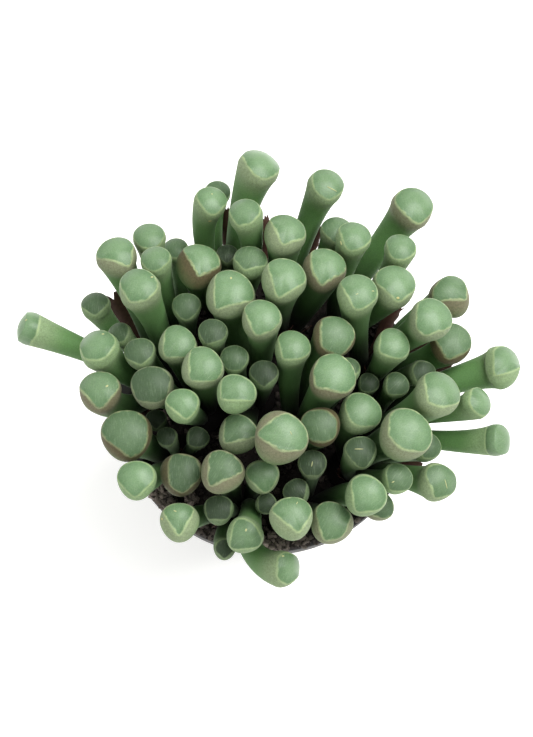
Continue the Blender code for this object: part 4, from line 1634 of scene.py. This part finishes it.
@dataclass
class Scars:
    """Healed nicks on the leaves, by the photograph's pixels that show them.

    Each mark has its column and row, its length and width in mm, and its turn in degrees.
    """

    view: View
    depth: float = 0.1 * MM
    sides: int = 12
    rings: int = 8
    pale: tuple[tuple[float, ...], ...] = (
        (332, 189, 2.9, 0.22, -22), (212, 194, 0.4, 0.36, 0), (231, 278, 0.7, 0.5, 80),
        (341, 243, 1.1, 0.5, 100), (357, 294, 0.7, 0.18, 20), (373, 291, 0.8, 0.25, 10),
        (175, 511, 0.8, 0.3, -30), (246, 530, 0.7, 0.45, 70), (283, 556, 0.7, 0.4, 20),
        (297, 503, 0.8, 0.2, 60), (359, 449, 2.1, 0.2, 0), (446, 484, 2.4, 0.2, -65),
        (393, 482, 0.7, 0.3, 30), (312, 464, 1.3, 0.2, 80), (291, 433, 1.0, 0.14, -60),
        (107, 386, 0.8, 0.4, 40), (103, 334, 0.7, 0.4, 0), (152, 277, 0.7, 0.4, 30),
        (26, 320, 0.8, 0.5, 0),
    )
    brown: tuple[tuple[float, ...], ...] = (
        (210, 221, 0.9, 0.5, 60), (398, 298, 0.8, 0.6, 0), (162, 519, 0.6, 0.6, 0),
    )

    def build(self, leaves: BVHTree, finish: CorkScar) -> None:
        """Set a low lens of cork into the skin at each mark.

        Args:
            leaves: The leaves' surfaces.
            finish: The cork's finish.
        """
        eye = self.view.eye()
        for kind, marks in ((ScarKind.PALE, self.pale), (ScarKind.BROWN, self.brown)):
            shape = bmesh.new()
            for column, row, length, width, angle in marks:
                way = (self.view.pixel_mark(column, row) - eye).normalized()
                place, normal, _, _ = leaves.ray_cast(eye, way)
                if place is None:
                    LOG.warning("no leaf at pixel %s, %s", column, row)
                    continue
                turn = math.radians(angle)
                along = Vector((math.cos(turn), math.sin(turn), 0.0))
                along = (along - normal * along.dot(normal)).normalized()
                basis = Matrix((along, normal.cross(along), normal)).transposed().to_4x4()
                size = Matrix.Diagonal((length / 2 * MM, width / 2 * MM, self.depth, 1.0))
                bmesh.ops.create_uvsphere(
                    shape, u_segments=self.sides, v_segments=self.rings, radius=1.0,
                    matrix=Matrix.Translation(place) @ basis @ size)
            name = f"scars_{kind.name.lower()}"
            piece = add_piece(name, to_mesh(shape, name), finish.material(kind))
            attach(piece, "root")
            LOG.info("%s: %d faces", name, len(piece.data.polygons))


@dataclass(frozen=True)
class Husk:
    """A spent leaf's skin that stands between living leaves.

    It grows from a head, is some mm wide, and passes the pixels of the photograph that are
    given with their heights over the mix in mm.
    """

    head: int
    width: float
    marks: tuple[tuple[float, float, float], ...]


@dataclass
class Sheaths:
    """Dried skins of spent leaves, round the feet of living ones and between them."""

    growth: Growth
    view: View
    curves: np.ndarray
    husks: tuple[Husk, ...] = (
        Husk(3, 3.4, ((229, 250, 9), (226, 225, 14), (225, 204, 18))),
        Husk(3, 3.0, ((266, 254, 8), (265, 232, 13), (262, 214, 16))),
        Husk(4, 3.4, ((310, 250, 9), (315, 236, 13), (321, 222, 17))),
        Husk(6, 4.0, ((384, 330, 8), (391, 314, 12), (398, 302, 15))),
        Husk(6, 3.2, ((405, 357, 8), (418, 348, 12), (431, 341, 15))),
        Husk(7, 3.0, ((425, 377, 8), (440, 369, 12), (455, 362, 15))),
        Husk(1, 6.0, ((136, 335, 8), (122, 309, 12), (113, 291, 15))),
        Husk(2, 2.8, ((146, 290, 8), (136, 276, 12), (129, 264, 15))),
        Husk(8, 3.0, ((395, 465, 6), (410, 463, 8), (424, 462, 10))),
    )
    bare_share: float = 0.45
    columns: int = 9
    rows: int = 7
    start: float = 0.02
    reach: Span = (0.2, 0.36)
    spread: Span = (1.2, 2.4)
    tears: Span = (0.55, 1.0)
    gap: float = 0.25 * MM
    flare: float = 0.9 * MM
    ripple: float = 0.15 * MM
    ripples: int = 5
    husk_rows: int = 13
    husk_tears: Span = (0.86, 1.0)
    foot_width: float = 0.7
    cup: float = 0.5
    waver: float = 0.12
    waver_step: float = 1.7
    waver_shift: float = 3.0
    thick: float = 0.16 * MM
    seed: int = 23

    def build(self, material: bpy.types.Material) -> bpy.types.Object:
        """Wrap a torn sheath round the foot of about half of the leaves, and set the husks.

        Args:
            material: The sheaths' finish.

        Returns:
            The sheaths' piece.
        """
        rng = np.random.default_rng(self.seed)
        shape = bmesh.new()
        plans = [plan for head in HEADS for plan in head.leaves]
        for plan, controls in zip(plans, self.curves):
            if rng.uniform() >= self.bare_share:
                add_sheet(shape, self.sheath(plan, controls, rng))
        for husk in self.husks:
            add_sheet(shape, self.husk(husk, rng))
        mesh = to_mesh(shape, "dried_sheaths")
        piece = add_piece("dried_sheaths", mesh, material)
        wall = piece.modifiers.new("thickness", "SOLIDIFY")
        wall.thickness = self.thick
        wall.offset = 0.0
        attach(piece, "root")
        LOG.info("dried sheaths: %d faces", len(mesh.polygons))
        return piece

    @staticmethod
    def between(rows: np.ndarray, low: np.ndarray, part: np.ndarray) -> np.ndarray:
        """Give what lies part of the way from each low row to the next one."""
        part = part.reshape(part.shape + (1,) * (rows.ndim - 1))
        return rows[low] * (1 - part) + rows[low + 1] * part

    def sheath(self, plan: LeafPlan, controls: np.ndarray,
               rng: np.random.Generator) -> np.ndarray:
        """Lay a torn sheath round a leaf's foot.

        Args:
            plan: The leaf.
            controls: The four control points of its curve.
            rng: The draws for its place and its tears.

        Returns:
            Its points (column, row, xyz).
        """
        radius = self.growth.half_width(plan.width)
        start, spread = rng.uniform(0, math.tau), rng.uniform(*self.spread)
        shares = np.linspace(self.start, 1.0, self.rows) * rng.uniform(*self.reach)
        spine = self.growth.weights(shares) @ controls
        ways = unit(np.gradient(spine, axis=0))
        first = unit(np.cross(ways, np.array([0.0, 1.0, 0.0])))
        second = np.cross(ways, first)
        tears = rng.uniform(*self.tears, self.columns)
        angle = start + spread * (np.arange(self.columns) / (self.columns - 1) - 0.5)
        up = np.arange(self.rows) / (self.rows - 1) * tears[:, None]
        at = up * (self.rows - 1)
        low = np.minimum(at.astype(int), self.rows - 2)
        skin = radius * self.growth.thickness(self.between(shares, low, at - low))
        skin += self.gap + self.flare * up**3 + self.ripple * np.sin(self.ripples * angle)[:, None]
        out = (np.cos(angle)[:, None, None] * first[low]
               + np.sin(angle)[:, None, None] * second[low])
        return self.between(spine, low, at - low) + out * skin[..., None]

    def husk(self, husk: Husk, rng: np.random.Generator) -> np.ndarray:
        """Lay a cupped, torn skin that faces the eye.

        Args:
            husk: Where it stands.
            rng: The draws for its tears.

        Returns:
            Its points (column, row, xyz).
        """
        places = [self.growth.crown(HEADS[husk.head - 1])]
        for column, row, height in husk.marks:
            mark = self.view.pixel_mark(column, row)
            places.append(self.view.at_level(mark, self.growth.soil_level + height * MM))
        at = np.linspace(0, len(places) - 1, self.husk_rows)
        spine = np.stack([np.interp(at, range(len(places)), axis) for axis in zip(*places)], axis=1)
        ways = np.gradient(spine, axis=0)
        across = unit(np.cross(ways, np.array(self.view.eye()) - spine))
        back = unit(np.cross(across, ways))
        tears = rng.uniform(*self.husk_tears, self.columns)
        side = 2 * np.arange(self.columns)[:, None] / (self.columns - 1) - 1
        rows = np.arange(self.husk_rows)
        up = rows * tears[:, None]
        low = np.minimum(up.astype(int), self.husk_rows - 2)
        wider = (1 - self.foot_width) * up / self.husk_rows
        half = husk.width / 2 * MM * (self.foot_width + wider)
        turn = self.waver_step * rows + self.waver_shift * husk.width
        half *= 1 + self.waver * np.sin(turn)
        sag = self.cup * half * side**2
        aside = across[low] * (half * side)[..., None] - back[low] * sag[..., None]
        return self.between(spine, low, up - low) + aside


@dataclass
class Studio:
    """A plain pale light table under soft light."""

    floor_colour: str = "#FAFAF8"
    floor_size: float = 6.0
    floor_roughness: float = 0.9
    floor_glow: float = 0.35
    key_place: tuple[float, float, float] = (0.4, 0.22, 0.9)
    key_power: float = 13.0
    fill_place: tuple[float, float, float] = (-0.6, -0.5, 0.8)
    fill_power: float = 2.0
    softbox: float = 0.7
    aim: tuple[float, float, float] = (0.0, 0.0, 0.08)
    sky: float = 0.7

    def build(self) -> None:
        """Lay the floor and hang the lights."""
        mesh = bpy.data.meshes.new("studio_floor")
        half = self.floor_size / 2
        mesh.from_pydata([(-half, -half, 0), (half, -half, 0), (half, half, 0),
                          (-half, half, 0)], [], [(0, 1, 2, 3)])
        material, tree, shader = new_material("matt_white_floor")
        colour = srgb(self.floor_colour)
        feed(tree, shader, {"Base Color": colour, "Roughness": self.floor_roughness,
                            "Emission Color": colour, "Emission Strength": self.floor_glow})
        floor = add_piece("studio_floor", mesh, material)
        self.lamp("key_softbox", self.key_place, self.key_power)
        self.lamp("fill_softbox", self.fill_place, self.fill_power)
        world = bpy.data.worlds.new("studio")
        world.use_nodes = True
        feed(world.node_tree, world.node_tree.nodes["Background"],
             {"Color": (1.0, 1.0, 1.0, 1.0), "Strength": self.sky})
        bpy.context.scene.world = world
        bpy.context.scene.view_settings.view_transform = "Standard"
        LOG.info("studio: floor %.1f m, two softboxes", self.floor_size)

    def lamp(self, name: str, place: tuple[float, float, float], power: float) -> None:
        """Hang a square softbox that faces the plant.

        Args:
            name: The lamp's name.
            place: Its place.
            power: Its power in watts.
        """
        data = bpy.data.lights.new(name, "AREA")
        data.shape = "SQUARE"
        data.size = self.softbox
        data.energy = power
        lamp = add_object(name, data)
        lamp.location = place
        way = Vector(self.aim) - Vector(place)
        lamp.rotation_euler = way.to_track_quat("-Z", "Y").to_euler()


def surfaces(pieces: list[bpy.types.Object]) -> BVHTree:
    """Gather pieces' surfaces for finding places on them.

    Args:
        pieces: The pieces.

    Returns:
        One tree of all their faces.
    """
    points, faces = [], []
    for piece in pieces:
        start = len(points)
        points.extend(vertex.co.copy() for vertex in piece.data.vertices)
        faces.extend([start + index for index in face.vertices] for face in piece.data.polygons)
    return BVHTree.FromPolygons(points, faces)


def main() -> None:
    """Build the looks in order, and note the sizes of what is built."""
    logging.basicConfig(level=logging.INFO, format="%(message)s")
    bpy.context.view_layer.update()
    view = View()
    view.add_camera()
    growth = Growth()
    curves = growth.settle(view)
    heads = Clump(growth, LeafForm(growth, view), curves).build(LeafSkin().material())
    leaves = surfaces(heads)
    NurseryPot(growth).build(MouldedPlastic().material())
    frame["nodes"]["soil"].data.materials.clear()
    frame["nodes"]["soil"].data.materials.append(GrittyMix().material())
    Grit(growth, view).build(leaves, GritStone().material())
    Sheaths(growth, view, curves).build(DriedSkin().material())
    Scars(view).build(leaves, CorkScar())
    Studio().build()


if __name__ == "__main__":
    main()
